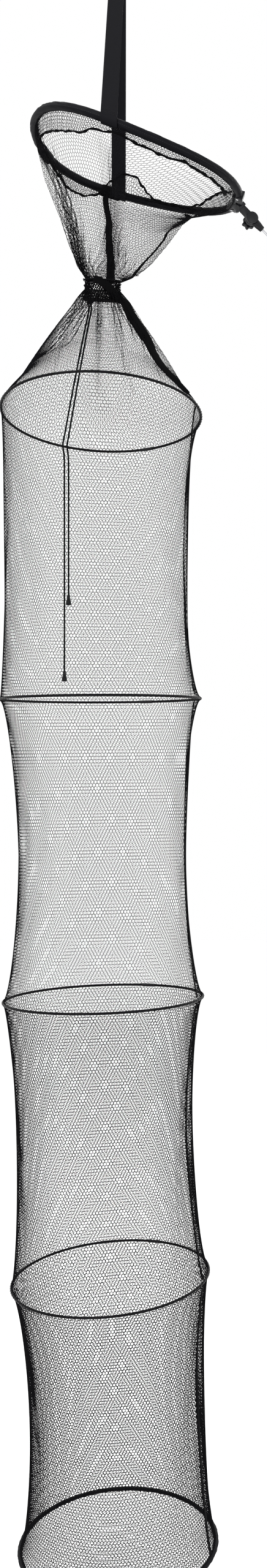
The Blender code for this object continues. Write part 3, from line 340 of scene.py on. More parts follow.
def tube_grid(path, radius, sides, reference, closed=False):
    """Rings of points round a path, each square to it and turned from a reference direction. The radius is
    one number, or one for each point [row, side]."""
    along = way_along(path, closed)
    side = unit(np.cross(along, np.broadcast_to(reference, path.shape)))
    up = np.cross(side, along)
    turn = np.arange(sides) * TAU / sides
    reach = np.broadcast_to(radius, (len(path), sides))[..., None]
    ring = np.cos(turn)[:, None] * side[:, None] + np.sin(turn)[:, None] * up[:, None]
    return path[:, None] + reach * ring


def smooth_route(points, spacing):
    """A cubic through each pair of points, its slope from the points on both sides, read at even steps.
    Returns the new points and the whole length."""
    points = np.asarray(points, dtype=float)
    wide = np.vstack([2 * points[0] - points[1], points, 2 * points[-1] - points[-2]])
    a, b, c, d = wide[:-3], wide[1:-2], wide[2:-1], wide[3:]
    reach = np.linalg.norm(c - b, axis=1, keepdims=True)
    start = (c - a) * reach / np.linalg.norm(c - a, axis=1, keepdims=True)
    finish = (d - b) * reach / np.linalg.norm(d - b, axis=1, keepdims=True)
    t = np.linspace(0, 1, ROUTE_STEPS, endpoint=False)[None, :, None]
    fine = (
        b[:, None] * (2 * t**3 - 3 * t**2 + 1)
        + start[:, None] * (t**3 - 2 * t**2 + t)
        + c[:, None] * (3 * t**2 - 2 * t**3)
        + finish[:, None] * (t**3 - t**2)
    ).reshape(-1, 3)
    fine = np.vstack([fine, points[-1]])
    lengths = np.append(0, np.cumsum(np.linalg.norm(np.diff(fine, axis=0), axis=1)))
    wanted = np.linspace(0, lengths[-1], round(lengths[-1] / spacing) + 1)
    return np.stack([np.interp(wanted, lengths, fine[:, k]) for k in range(3)], axis=1), lengths[-1]


def spun(name, profile, middle, sides, look):
    """A profile of (radius, height) turned about an upright axis through a middle."""
    radius, height = np.array(profile).T[..., None]
    turn = np.arange(sides) * TAU / sides
    grid = np.stack([radius * np.cos(turn), radius * np.sin(turn), height + 0 * turn], axis=-1)
    return surface(name, grid + middle, look, across=True, capped=True)


def dress(piece, body, slot, *nodes):
    """The piece rides on a body and stands for CAD nodes. Its slot is not used."""
    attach(piece, body)
    if nodes:
        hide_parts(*nodes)


def dress_between(piece, bodies, span, slot, *nodes):
    """The piece's place is baked into its mesh, and the CAD nodes it stands for are hidden. Its bodies, span
    and slot are not used.
    """
    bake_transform(piece)
    if nodes:
        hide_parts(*nodes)


braided_cord = cloth_look(
    "braided cord", CORD_COLOR, 0.75, BRAID_PITCH, BRAID_PITCH, slant=1.0, depth=0.00015
)
bell_plastic = moulded_look("bell plastic", BELL_COLOR, 0.35)


def make_strand(label, route):
    """One strand and its bell. The strand follows the neck down to the first hoop, and hangs from there.
    The braid is a slight bump at every other point, shifted by one from ring to ring."""
    path, length = smooth_route(route, CORD_STEP)
    twist = 1 + BRAID_RELIEF * np.cos(math.pi * (np.arange(CORD_SIDES) + np.arange(len(path))[:, None]))
    grid = tube_grid(path, CORD_RADIUS * twist, CORD_SIDES, (1, 0, 0))
    cord = surface(f"strand_{label}", grid, braided_cord, across=True, capped=True)
    foot, top = BELL_FOOT_RADIUS, BELL_TOP_RADIUS
    profile = [
        (foot * 0.15, -BELL_LENGTH * 0.35),
        (foot * 0.62, -BELL_LENGTH * 0.55),
        (foot * 0.80, -BELL_LENGTH + BELL_LIP),
        (foot * 0.88, -BELL_LENGTH),
        (foot - BELL_LIP / 2, -BELL_LENGTH),
        (foot, -BELL_LENGTH + BELL_LIP),
        (foot, -BELL_LENGTH * 0.80),
        (foot * 0.93, -BELL_LENGTH * 0.66),
        ((foot + top) / 2, -BELL_LENGTH * 0.50),
        (top * 1.08, -BELL_LENGTH * 0.34),
        (top, -BELL_LENGTH * 0.20),
        (top, -BELL_LIP),
        (top - BELL_LIP, 0),
        (top * 0.40, 0),
    ]
    bell = spun(f"bell_{label}", profile, path[-1] - (0, 0, BELL_LIP / 2), BELL_SIDES, bell_plastic)
    dress_between(cord, ("neck", "ring_1"), STRAND_SPAN, "cord", f"cord_{label}")
    dress(bell, "ring_1", "cord_plastic", f"cord_end_{label}")


make_strand("short", SHORT_ROUTE)
make_strand("long", LONG_ROUTE)


# Head rim
# An alloy tube bent to a hoop, hanging tilted and a little sprung out of flat, inside a sewn sleeve of
# black cloth. The sleeve's overlap is stitched along the outer face.
RIM_MIDDLE = np.array((0.0348, 0, -0.4112))
RIM_RADIUS = 0.2115
RIM_PITCH = math.radians(6.2)
RIM_ROLL = math.radians(18.3)
RIM_WAVES = ((0.0033, 2, math.pi / 2), (0.0074, 2, 0.0), (-0.0046, 3, 0.0))
RIM_ROWS = 320
SLEEVE_RADIUS = 0.0079
SLEEVE_SIDES = 28
SLEEVE_END_GAP = 0.002
SLEEVE_FOLD = 0.0005
SLEEVE_FOLD_SPREAD = 0.5
SLEEVE_WRINKLE = 0.00035
SLEEVE_CREASES = ((47, 0.4, 1), (83, 1.9, 0.7), (29, 4.0, 0.9))
SLEEVE_COLOR = (0.006, 0.006, 0.008)
TUBE_COLOR = (0.40, 0.41, 0.43)
THREAD_COLOR = (0.014, 0.014, 0.016)
STITCH_LENGTH = 0.0026
STITCH_PITCH = 0.0042
STITCH_RADIUS = 0.00028
STITCH_TURN = math.radians(-12)
STITCH_CROWN = (-0.0001, 0.0002, -0.0001)
STITCH_MARGIN = 0.02
BLOCK_TURN = math.radians(6.5)
BLOCK_HALF_LENGTH = 0.046


def tilt(pitch, roll):
    """The rotation that leans a hoop: first about X by the pitch, then about Y by the roll."""
    cp, sp, cr, sr = math.cos(pitch), math.sin(pitch), math.cos(roll), math.sin(roll)
    about_x = np.array([[1, 0, 0], [0, cp, -sp], [0, sp, cp]])
    about_y = np.array([[cr, 0, sr], [0, 1, 0], [-sr, 0, cr]])
    return about_y @ about_x


RIM_TILT = tilt(RIM_PITCH, RIM_ROLL)


def hoop_points(middle, rotation, radius, height, turn):
    """Points of a circle of a radius at a height, round the tilted axis of a hoop."""
    turn, radius, height = np.broadcast_arrays(turn, radius, height)
    local = np.stack([radius * np.cos(turn), radius * np.sin(turn), height], axis=-1)
    return local @ rotation.T + middle


def rim_lift(turn):
    """How far the rim's middle line stands above its plane: a few waves round it."""
    return sum(size * np.sin(waves * turn + shift) for size, waves, shift in RIM_WAVES)


def rim_points(turn, out, up):
    """Points beside the rim tube's middle line: out from the rim's axis, and up from the rim's plane."""
    return hoop_points(RIM_MIDDLE, RIM_TILT, RIM_RADIUS + out, rim_lift(turn) + up, turn)


def waves(turn, size, *parts):
    """A sum of sines round a loop, for creases: parts are (waves round, shift, share)."""
    return size * sum(share * np.sin(count * turn + shift) for count, shift, share in parts)


def stitch_row(name, here, out, look):
    """Stitches as short round bars that bow out of a seam. here [n, 3, 3] gives each stitch's start,
    crown and end, and out the direction that the crown stands towards."""
    along = unit(here[:, 2] - here[:, 0])
    side = np.cross(along, out)
    turn = np.arange(4) * TAU / 4
    ring = STITCH_RADIUS * (np.cos(turn)[:, None] * side[:, None] + np.sin(turn)[:, None] * out[:, None])
    corners = here[:, :, None] + ring[:, None]
    base = np.arange(4)
    after = (base + 1) % 4
    quads = [np.stack([base, after, after + 4, base + 4], axis=1) + 4 * k for k in range(2)]
    quads += [np.array([[3, 2, 1, 0]]), np.array([[8, 9, 10, 11]])]
    quads = np.vstack(quads)
    every = (quads[None] + 12 * np.arange(len(here))[:, None, None]).reshape(-1, 4)
    return mesh_piece(name, corners.reshape(-1, 3), every.ravel(), np.arange(len(every)) * 4, look)


sleeve_cloth = cloth_look("sleeve cloth", SLEEVE_COLOR, 0.5, 0.0007, 0.0007, depth=0.00006)
thread_look = moulded_look("sewing thread", THREAD_COLOR, 0.6, grain=0.0006)
rim_alloy = moulded_look("drawn alloy", TUBE_COLOR, 0.3, metallic=1.0)

rim_low = BLOCK_TURN + BLOCK_HALF_LENGTH / RIM_RADIUS
rim_high = BLOCK_TURN - BLOCK_HALF_LENGTH / RIM_RADIUS + TAU
turn = np.linspace(rim_low + SLEEVE_END_GAP, rim_high - SLEEVE_END_GAP, RIM_ROWS)[:, None]
angle = (np.arange(SLEEVE_SIDES) * TAU / SLEEVE_SIDES)[None, :]
fold = 2 * SLEEVE_FOLD * np.exp(-(((angle - (TAU + STITCH_TURN)) / SLEEVE_FOLD_SPREAD) ** 2))
creases = waves(turn + 0.15 * angle, SLEEVE_WRINKLE, *SLEEVE_CREASES)
reach = SLEEVE_RADIUS + fold + creases * (0.6 + 0.4 * np.sin(angle * 2 + 5 * turn))
grid = rim_points(turn, reach * np.cos(angle), reach * np.sin(angle))
sleeve = surface("rim_sleeve_cloth", grid, sleeve_cloth, across=True, capped=True)
dress(sleeve, "head", "sleeve_cloth", "rim_sleeve")

count = int((rim_high - rim_low) * RIM_RADIUS / STITCH_PITCH)
first = np.linspace(rim_low + STITCH_MARGIN, rim_high - STITCH_MARGIN, count)
at = first[:, None] + np.array([0, 0.5, 1]) * STITCH_LENGTH / RIM_RADIUS
lift = SLEEVE_RADIUS + SLEEVE_FOLD * 2 + np.array(STITCH_CROWN)
here = rim_points(at, lift * math.cos(STITCH_TURN), lift * math.sin(STITCH_TURN))
face = unit(rim_points(first, math.cos(STITCH_TURN), math.sin(STITCH_TURN)) - rim_points(first, 0.0, 0.0))
dress(stitch_row("rim_stitches", here, face, thread_look), "head", "sleeve_cloth")


def give_look(node, look):
    """A rigid CAD solid that is shown as it is takes a look."""
    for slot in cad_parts[node].material_slots:
        slot.material = look


give_look("head_frame_tube", rim_alloy)


# Rim tab
# A short length of webbing wrapped once round the rim on the left and stitched to itself underneath.
WEBBING_COLOR = (0.007, 0.007, 0.009)
TAB_TURNS = (math.radians(151.5), math.radians(162.0))
TAB_RADIUS = 0.0102
TAB_ROWS = 16
WRAP_SIDES = 24

webbing = cloth_look("webbing", WEBBING_COLOR, 0.62, 0.0016, 0.0008, slant=0.6, depth=0.00012)


def rim_wrap(name, turns, rows, pinch, spread, look):
    """A band wound once round the rim's sleeve between two turns: thinner towards its two edges, and drawn
    to a ridge underneath, a bell-shaped pinch with its height and spread."""
    turn = np.linspace(*turns, rows)[:, None]
    angle = (np.arange(WRAP_SIDES) * TAU / WRAP_SIDES)[None, :]
    edge = np.clip((1 - np.abs(np.linspace(-1, 1, rows)[:, None])) * 8, 0, 1) ** 0.5
    ridge = 1 + pinch * np.exp(-(((angle - 1.5 * math.pi) / spread) ** 2))
    reach = (SLEEVE_RADIUS + (TAB_RADIUS - SLEEVE_RADIUS) * (0.4 + 0.6 * edge)) * ridge
    grid = rim_points(turn, reach * np.cos(angle), reach * np.sin(angle))
    return surface(name, grid, look, across=True, capped=True)


tab = rim_wrap("rim_tab_wrap", TAB_TURNS, TAB_ROWS, 0.30, 0.35, webbing)
dress(tab, "head", "webbing", "rim_tab")


# Lip
# A strip of the same net sewn inside the rim. Its free edge is bound with elastic tape, which draws it
# inwards as a loose collar that sags where it is slack.
NET_MESH = 0.0071
NET_ROW = 0.0060
NET_STRAND = 0.00078
NET_COLOR = (0.008, 0.008, 0.009)
NET_COLUMNS = 176
NET_ZIGZAG = 0.20
TAPE_COLOR = (0.003, 0.003, 0.0035)
LIP_ROWS = 6
LIP_COLUMNS = 230
LIP_ROOT = SLEEVE_RADIUS * 0.9
LIP_RIPPLE = 0.0006
LIP_RIPPLES = ((23, 0.3, 0.8), (37, 2.0, 0.8), (61, 1.0, 0.7), (11, 0.5, 0.7))
LIP_BINDING_RADIUS = 0.0022
LIP_BINDING_SIDES = 12
LIP_BINDING_STEPS = 420
LIP_BINDING_FLATNESS = 0.35
LIP_PUCKER = 0.14
LIP_PUCKERS = ((53, 0.2, 1), (79, 1.4, 0.9), (31, 2.6, 0.8))
LIP_TABLE = (
    # turn, width in millimetres, and slope: 0 hangs straight down, 90 lies in the rim's plane
    (-180, 36, 45),
    (-165, 36, 30),
    (-150, 40, 35),
    (-135, 42, 35),
    (-120, 38, 25),
    (-108, 24, 0),
    (-95, 17, 0),
    (-82, 22, 50),
    (-72, 22, 40),
    (-60, 17, 5),
    (-42, 20, 0),
    (-25, 22, 20),
    (0, 28, 95),
    (15, 36, 112),
    (25, 38, 112),
    (35, 34, 105),
    (45, 26, 95),
    (60, 12, 95),
    (74, 12, 100),
    (81, 13, 110),
    (86, 19, 135),
    (90, 29, 150),
    (95, 41, 158),
    (103, 42, 160),
    (110, 30, 120),
    (117, 24, 30),
    (124, 30, 15),
    (135, 38, 30),
    (150, 42, 48),
    (165, 39, 52),
    (180, 36, 45),
)
MILLIMETRE = 0.001


def level_way(turn):
    """The level direction at a turn about an upright axis."""
    return np.stack([np.cos(turn), np.sin(turn), np.zeros_like(turn)], axis=-1)


def ease(value):
    """Slow at both ends, from 0 to 1."""
    value = np.clip(value, 0, 1)
    return value * value * (3 - 2 * value)


def periodic(turn, table, column):
    """A smooth value round a loop from a table by angle in degrees, each step eased in and out."""
    table = np.array(table, dtype=float)
    degrees = (np.degrees(turn) + 180) % 360 - 180
    low = np.clip(np.searchsorted(table[:, 0], degrees, side="right") - 1, 0, len(table) - 2)
    share = (degrees - table[low, 0]) / (table[low + 1, 0] - table[low, 0])
    return table[low, column] * (1 - ease(share)) + table[low + 1, column] * ease(share)


def lip_points(turn, share):
    """Points of the lip from the rim's foot, share 0, to its bound edge, share 1."""
    turn, share = np.broadcast_arrays(turn, share)
    width = periodic(turn, LIP_TABLE, 1) * MILLIMETRE - LIP_ROOT
    slope = np.radians(periodic(turn, LIP_TABLE, 2))
    start = np.minimum(slope, math.radians(80))
    lean = start + (slope - start) * share
    reach = LIP_ROOT + width * share
    ripple = waves(turn, LIP_RIPPLE, *LIP_RIPPLES) * share
    return rim_points(turn, -reach * np.sin(lean), -reach * np.cos(lean) + ripple)


def net_lattice(wall, outwards, columns, rows, first=0, last=None, width=NET_STRAND):
    """A net of six-sided meshes. Rows of zigzag strands run round, and short ties join each low corner to
    the high corner below. wall(turn share, drop share) gives the points. Returns corners and quads."""
    last = 2 * columns if last is None else last
    k, r = np.meshgrid(np.arange(first, last + 1), np.arange(rows + 2), indexing="ij")
    zig = np.where((k + r) % 2 == 0, 1, -1) * NET_ZIGZAG
    drop = np.clip((r - 0.5 + zig) / rows, 0, 1)
    turn = k / (2 * columns)
    nodes = wall(turn, drop).reshape(-1, 3)
    facing = unit(outwards(turn, drop)).reshape(-1, 3)
    number = np.arange(nodes.shape[0]).reshape(k.shape)
    across = np.stack([number[:-1, 1:-1], number[1:, 1:-1]], axis=-1).reshape(-1, 2)
    tied = ((k + r) % 2 == 0)[:-1, :-1]
    down = np.stack([number[:-1, :-1][tied], number[:-1, 1:][tied]], axis=-1)
    pairs = np.vstack([across, down])
    start, end = nodes[pairs[:, 0]], nodes[pairs[:, 1]]
    along = end - start
    keep = np.linalg.norm(along, axis=1) > width / 4
    start, end, along, pairs = start[keep], end[keep], unit(along[keep]), pairs[keep]
    side = unit(np.cross(along, facing[pairs].mean(axis=1)))
    out = np.cross(side, along)
    ring = np.stack([out / 3**0.5, side / 2 - out / 12**0.5, -side / 2 - out / 12**0.5], axis=1) * width
    nudge = along[:, None] * width / 4
    corners = np.stack([start[:, None] + ring - nudge, end[:, None] + ring + nudge], axis=1).reshape(-1, 3)
    quads = np.array([[0, 1, 4, 3], [1, 2, 5, 4], [2, 0, 3, 5]])
    every = (quads[None] + 6 * np.arange(len(start))[:, None, None]).reshape(-1, 4)
    return corners, every


def net_piece(name, look, *args, **more):
    """A piece of net from net_lattice's corners and quads."""
    corners, quads = net_lattice(*args, **more)
    return mesh_piece(name, corners, quads.ravel(), np.arange(len(quads)) * 4, look)


net_yarn, _ = new_look("net yarn", NET_COLOR, 0.85, Specular_IOR_Level=0.02)
tape_cloth = cloth_look("seam tape", TAPE_COLOR, 0.8, 0.0006, 0.0006, depth=0.00005, gloss=0.04)


def lip_facing(turn, drop):
    """The direction that the lip's net faces: inwards, and half as much down."""
    return -level_way(turn * TAU) - (0, 0, 0.5)


def lip_wall(turn, drop):
    """The lip's points by share of the way round and down."""
    return lip_points(turn * TAU, drop)


lip = net_piece("lip_mesh", net_yarn, lip_wall, lip_facing, LIP_COLUMNS, LIP_ROWS)
dress(lip, "head", "net", "lip_net")

turn = np.linspace(0, TAU, LIP_BINDING_STEPS, endpoint=False)
path = lip_points(turn, np.ones_like(turn))
oval = 1 + LIP_BINDING_FLATNESS * np.cos(np.arange(LIP_BINDING_SIDES) * 2 * TAU / LIP_BINDING_SIDES)
puckers = 1 + waves(turn, LIP_PUCKER, *LIP_PUCKERS)[:, None]
grid = tube_grid(path, LIP_BINDING_RADIUS * oval * puckers, LIP_BINDING_SIDES, (0, 0, 1), closed=True)
binding = surface("lip_bound_edge", grid, tape_cloth, across=True, along=True)
dress(binding, "head", "tape", "lip_binding")


# Frame block, knuckle and spike
# A moulded block of black nylon takes both ends of the rim tube and is screwed through its collars. Its
# arm ends in half of a knuckle; the holder with the steel spike is the other half, and a star knob on
# the far side clamps the two on a bolt. The solids have the right shapes, so each is given rounded edges.
MOULDING_COLOR = (0.009, 0.009, 0.011)
STEEL_COLOR = (0.62, 0.62, 0.64)
BRASS_COLOR = (0.70, 0.52, 0.24)

black_nylon = moulded_look("black nylon", MOULDING_COLOR, 0.38, grain=0.0009, depth=0.0001, gloss=0.22)
bright_steel = moulded_look("bright steel", STEEL_COLOR, 0.25, metallic=1.0, grain=0.0008, depth=0.00004)
turned_brass = moulded_look("turned brass", BRASS_COLOR, 0.3, metallic=1.0, grain=0.0008, depth=0.00004)


def rounded_copy(node, name, look, body, slot, width, segments=2):
    """A copy of a rigid CAD node with its doubles merged and its edges rounded by a bevel."""
    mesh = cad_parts[node].data.copy()
    work = bmesh.new()
    work.from_mesh(mesh)
    bmesh.ops.remove_doubles(work, verts=work.verts, dist=1e-6)
    bmesh.ops.dissolve_limit(work, angle_limit=math.radians(1), verts=work.verts, edges=work.edges)
    work.to_mesh(mesh)
    work.free()
    mesh.materials.clear()
    mesh.materials.append(look)
    mesh.polygons.foreach_set("use_smooth", np.ones(len(mesh.polygons), dtype=bool))
    piece = bpy.data.objects.new(name, mesh)
    bpy.context.scene.collection.objects.link(piece)
    bevel = piece.modifiers.new("rounded edges", "BEVEL")
    bevel.width = width
    bevel.segments = segments
    bevel.limit_method = "ANGLE"
    bevel.angle_limit = math.radians(28)
    bevel.harden_normals = True
    bevel.use_clamp_overlap = True
    dress(piece, body, slot, node)


rounded_copy("frame_block", "rim_block", black_nylon, "head", "moulding", 0.0007)
rounded_copy("spike_holder", "spike_barrel", black_nylon, "holder", "moulding", 0.0006)
rounded_copy("star_knob", "clamp_knob", black_nylon, "knob", "moulding", 0.0006)
rounded_copy("ground_spike", "spike_rod", bright_steel, "holder", "steel", 0.0002)
for node in ("near_collar_screw", "far_collar_screw", "pivot_bolt", "pivot_washer"):
    give_look(node, bright_steel)
give_look("knob_insert", turned_brass)


# Handle strap
# One length of 30 mm polyester webbing: over the hook, down to the near and the far side of the rim,
# once round the sleeve on each side, and sewn to itself just above.
STRAP_WIDTH = 0.030
STRAP_THICK = 0.0018
STRAP_EASE = 0.0013
STRAP_GAP = 0.0003
HOOK_RADIUS = 0.013
# Where the near and the far leg come to the rim, along X.
STRAP_SIDES = (-0.0155, -0.002)
STRAP_WRAP = math.radians(240)
STRAP_TAIL = 0.016
# The radius of the sleeve where the strap presses on it.
SLEEVE_OUTER = 0.0078
HOOK_STEPS = 14
LEG_STEPS = 40
WRAP_STEPS = 30
SETTLE_STEPS = 4
TAIL_STEPS = 8
STRAP_STITCHES = 8
STRAP_STITCH_SHARE = 0.8
STRAP_ROWS = (0.004, 0.008, 0.012)


def strap_leg(way):
    """One leg's middle line and its way across, from the hook round the rim to the sewn tail. In the plane
    of the leg it is a straight tangent between two arcs, the hook's and the wrap's."""
    side = STRAP_SIDES[0] if way < 0 else STRAP_SIDES[1]
    angle = way * math.pi / 2
    # Step by step to the turn at which the rim's middle line has the leg's place along X.
    for _ in range(20):
        angle += way * (rim_points(angle, 0.0, 0.0)[0] - side) / RIM_RADIUS
    half = STRAP_WIDTH / RIM_RADIUS / 2
    before, middle, after = (rim_points(angle + way * step, 0.0, 0.0) for step in (-half, 0, half))
    run = unit(before - after)
    middle = (before + after + 2 * middle) / 4
    bend = HOOK_RADIUS + STRAP_THICK / 2
    wrap = SLEEVE_OUTER + STRAP_EASE + STRAP_THICK / 2
    reach, drop = abs(middle[1]), -middle[2] - HOOK_RADIUS
    lean = math.atan2(reach, drop) + math.asin((wrap - bend) / math.hypot(reach, drop))

    def round_rim(turn):
        """Points round the rim in the leg's plane, farther out where that plane cuts the rim at a slant."""
        out = np.stack([np.cos(turn), np.sin(turn)], axis=-1)
        slant = out[..., 0] * way * run[1] + out[..., 1] * run[2]
        return np.array((reach, middle[2])) + out * wrap / np.sqrt(1 - slant**2)[..., None]

    turn = np.linspace(math.pi / 2, lean, HOOK_STEPS)[:-1]
    over = np.array((0, -HOOK_RADIUS)) + bend * np.stack([np.cos(turn), np.sin(turn)], axis=1)
    out = np.array((math.cos(lean), math.sin(lean)))
    first, last = np.array((0, -HOOK_RADIUS)) + out * bend, round_rim(np.array(lean))
    leg = first + (last - first) * np.linspace(0, 1, LEG_STEPS)[:, None]
    wound = round_rim(lean - STRAP_WRAP * np.linspace(0, 1, WRAP_STEPS)[1:])
    along = np.array((math.sin(lean), -math.cos(lean)))
    back = np.array((math.sin(lean - STRAP_WRAP), -math.cos(lean - STRAP_WRAP)))
    joined = (last - wound[-1]) @ out - STRAP_THICK - STRAP_GAP
    landed = wound[-1] + back * (joined / (back @ out))
    settle = wound[-1] + (landed - wound[-1]) * np.linspace(0, 1, SETTLE_STEPS)[1:, None]
    tail = landed - along * STRAP_TAIL * np.linspace(0, 1, TAIL_STEPS)[1:, None]
    flat = np.vstack([over, leg, wound, settle, tail])
    share = np.clip(flat[:, 1] / middle[2], 0, 1)[:, None]
    path = np.hstack([middle[0] * share, way * flat[:, :1], flat[:, 1:]])
    across = np.array((1, 0, 0)) * (1 - share) + run / run[0] * share
    return path, across


near_path, near_across = strap_leg(-1)
far_path, far_across = strap_leg(1)
path = np.vstack([near_path[::-1], far_path[1:]])
across = np.vstack([near_across[::-1], far_across[1:]])
along = way_along(path)
face = unit(np.cross(unit(across), along))
# The webbing's section: shares of its width, and of its thickness, with a bead along each edge.
u = np.array([-1, -0.94, -0.8, -0.4, 0, 0.4, 0.8, 0.94, 1]) / 2
thick = np.array([0.45, 1.05, 0.86, 0.92, 0.96, 0.92, 0.86, 1.05, 0.45]) / 2
u, thick = np.append(u, u[::-1]), np.append(thick, -thick[::-1])
wide = across[:, None] * (u * STRAP_WIDTH)[None, :, None]
grid = path[:, None] + wide + face[:, None] * (thick * STRAP_THICK)[None, :, None]
strap = surface("strap_webbing", grid, webbing, across=True, capped=True)
dress(strap, "head", "webbing", "handle_strap")

# Three rows of stitches across each leg join it to its tail.
for label, leg, wide in (("near", near_path, near_across), ("far", far_path, far_across)):
    rim_end = HOOK_STEPS + LEG_STEPS - 2
    up, wide = unit(leg[rim_end - 1] - leg[rim_end]), unit(wide[rim_end])
    out = unit(np.cross(wide, up)) * (-1 if label == "far" else 1)
    row = np.arange(STRAP_STITCHES) / (STRAP_STITCHES - 1) - 0.5
    at = row[:, None] * STRAP_WIDTH + np.array([-0.5, 0, 0.5]) * STITCH_LENGTH
    side = (at * STRAP_STITCH_SHARE)[None, :, :, None] * wide
    lift = np.array([0, STRAP_GAP, 0])[None, None, :, None] * out + out * STRAP_THICK / 2
    here = leg[rim_end] + np.array(STRAP_ROWS)[:, None, None, None] * up + side + lift
    here = here.reshape(-1, 3, 3)
    face = np.broadcast_to(out, here[:, 0].shape)
    dress(stitch_row(f"strap_stitches_{label}", here, face, thread_look), "head", "webbing")


# Mouth net, neck and cone
# The net is gathered from the rim into the neck and let out again to the first hoop. Its fullness lies in
# pleats that run together at the neck, where a doubled band of net holds the drawstring.
NECK_MIDDLE = np.array((-0.0320, 0, -0.6580))
NECK_TILT = tilt(math.radians(17), math.radians(3))
NECK_RADIUS = 0.0370
NECK_HEIGHT = 0.0410
NECK_PLEAT = 0.0016
HOOP_RADIUS = 0.1971
HOOP_MIDDLES = np.array(
    (
        (-0.0345, 0.000, -0.9019),
        (-0.0360, 0.005, -1.4628),
        (-0.0307, 0.010, -2.0550),
        (-0.0172, 0.030, -2.6128),
        (-0.0014, 0.055, -3.1572),
    )
)
# Each hoop's pitch and roll in degrees.
HOOP_LEANS = ((-7.2, 2.7), (1.5, -0.2), (-0.9, -2.0), (0.9, -5.1), (1.3, -3.7))
HOOP_TILTS = [tilt(math.radians(pitch), math.radians(roll)) for pitch, roll in HOOP_LEANS]
SEAM_TURN = math.radians(-22.5)
FUNNEL_ROWS = 46
FUNNEL_COLUMNS = 176
FUNNEL_STRAND = 0.00064
CONE_STRAND = 0.00066
CONE_ROWS = 48
FOLD_DEPTH = 0.0045
# How far inside the neck's radius each wall meets it, and how far above the hoop the cone ends.
FUNNEL_INSET = 0.003
CONE_INSET = 0.001
CONE_FOOT_LIFT = 0.0030
# How far the funnel's far wall bows out, how nearly each wall is folded at its left and right, and over
# which shares of the way down that fold comes and goes.
FUNNEL_BACK = 0.026
FUNNEL_FLATNESS = 0.8
FUNNEL_FOLD_ENDS = (0.30, 0.35)
CONE_FLATNESS = 0.7
CONE_FOLD_ENDS = (0.20, 0.42)
# How far the funnel is drawn in, by share of the way down, on its right and on its left.
FUNNEL_PULLS = (
    (0.00, 0.000, 0.000),
    (0.12, 0.040, -0.006),
    (0.30, 0.036, -0.012),
    (0.55, 0.008, -0.010),
    (0.78, -0.014, -0.007),
    (0.90, -0.018, -0.004),
    (1.00, -0.006, 0.000),
)
CONE_BULGE = 0.007
CONE_WAIST = 0.005
# The pleats that take up the spare meshes: turns in degrees from the top to the foot, the share of the
# spare meshes, and the half width in metres.
FUNNEL_PLEATS = (
    ((150, 157, 158, 160, 152), 0.28, 0.0150),
    ((-172, -167, -163, -158, -150), 0.20, 0.0150),
    ((113, 109, 102, 88, 66), 0.28, 0.0190),
    ((-106, -100, -93, -84, -62), 0.24, 0.0190),
)
CONE_PLEATS = (
    ((-143, -144, -141, -134), 0.15, 0.0060),
    ((-118, -122, -123, -120), 0.11, 0.0045),
    ((-100, -94, -91, -90), 0.12, 0.0045),
    ((-60, -62, -64, -66), 0.10, 0.0045),
    ((-32, -30, -28, -34), 0.24, 0.0100),
    ((30, 20, 14, 10), 0.11, 0.0070),
    ((64, 58, 54, 52), 0.06, 0.0045),
    ((104, 98, 96, 94), 0.07, 0.0045),
    ((150, 154, 154, 154), 0.04, 0.0060),
)
# How far the pleats reach, as a share of the way from the neck, and how much wider than in the rest of the
# net the open meshes between them are pulled.
FUNNEL_REACH = 1.9
CONE_REACH = 0.68
FUNNEL_STRETCH = 0.32
CONE_STRETCH = 0.35
# How much sparser the open meshes are on the right than on the left, and at both sides than at the front.
FUNNEL_LEAN = (0.14, 0.04)
CONE_LEAN = (0.10, 0.20)
LEAST_SPARE = 0.05
# The small folds in and out along the pleats, how much wider each pleat is at the neck, and how soon that
# fades. The spare meshes run out towards the pleats' reach by a power.
PLEAT_WAVES = 27
PLEAT_SPREAD = 2.2
PLEAT_FADE = 0.15
PLEAT_POWER = 0.7
PLEAT_LEVELS = 41
PLEAT_STEPS = 1441
# The bodies named for each of the two nets at its top and at its foot, and the depths under a hoop that mark
# a span between them.
MOUTH_BODIES = ("head", "neck")
MOUTH_DEPTHS = (0.006, 0.222)
CONE_BODIES = ("neck", "ring_1")
CONE_DEPTHS = (-0.200, -0.004)
# A tape's section: shares of its width, and of its thickness, from its upper face round to its lower one.
TAPE_ACROSS = np.array([-0.5, -0.42, 0, 0.42, 0.5, 0.42, 0, -0.42])
TAPE_RISE = np.array([0.4, 0.9, 1.0, 0.9, 0.4, 0.05, 0, 0.05])
TAPE_THICK = 0.0012
TAPE_ROWS = 60
# Each tape's turns in degrees, and its widths, on the way down.
MOUTH_TAPE_TURNS = (109, 111, 109, 103, 90, 72)
MOUTH_TAPE_WIDTHS = (0.013, 0.016, 0.018)
SIDE_TAPE_TURNS = (60, 30, 25, 33, 42, 36)
SIDE_TAPE_WIDTHS = (0.016, 0.013, 0.010)


def round_facing(share_round, drop):
    """The level direction out of the net, at a share of the way round from the seam."""
    return level_way(share_round * TAU + SEAM_TURN)


def drawn_wall(top, foot, turn, drop, pull):
    """Points of a wall, even between its top and its foot, and drawn in from there by the pull."""
    down = drop[..., None]
    return top * (1 - down) + foot * down - level_way(turn) * pull[..., None]


def side_fold(turn, drop, radii, flatness, ends):
    """The shift along X from a round section to one that is folded at its left and right: there the distance
    along X falls evenly with the turn, in place of by its cosine. The fold comes and goes over the shares of
    the way down given in ends."""
    around = (turn + math.pi) % TAU - math.pi
    share = flatness * ease(np.minimum(drop / ends[0], (1 - drop) / ends[1]))
    radius = radii[0] * (1 - drop) + radii[1] * drop
    return radius * share * (1 - np.abs(around) * 2 / math.pi - np.cos(turn))


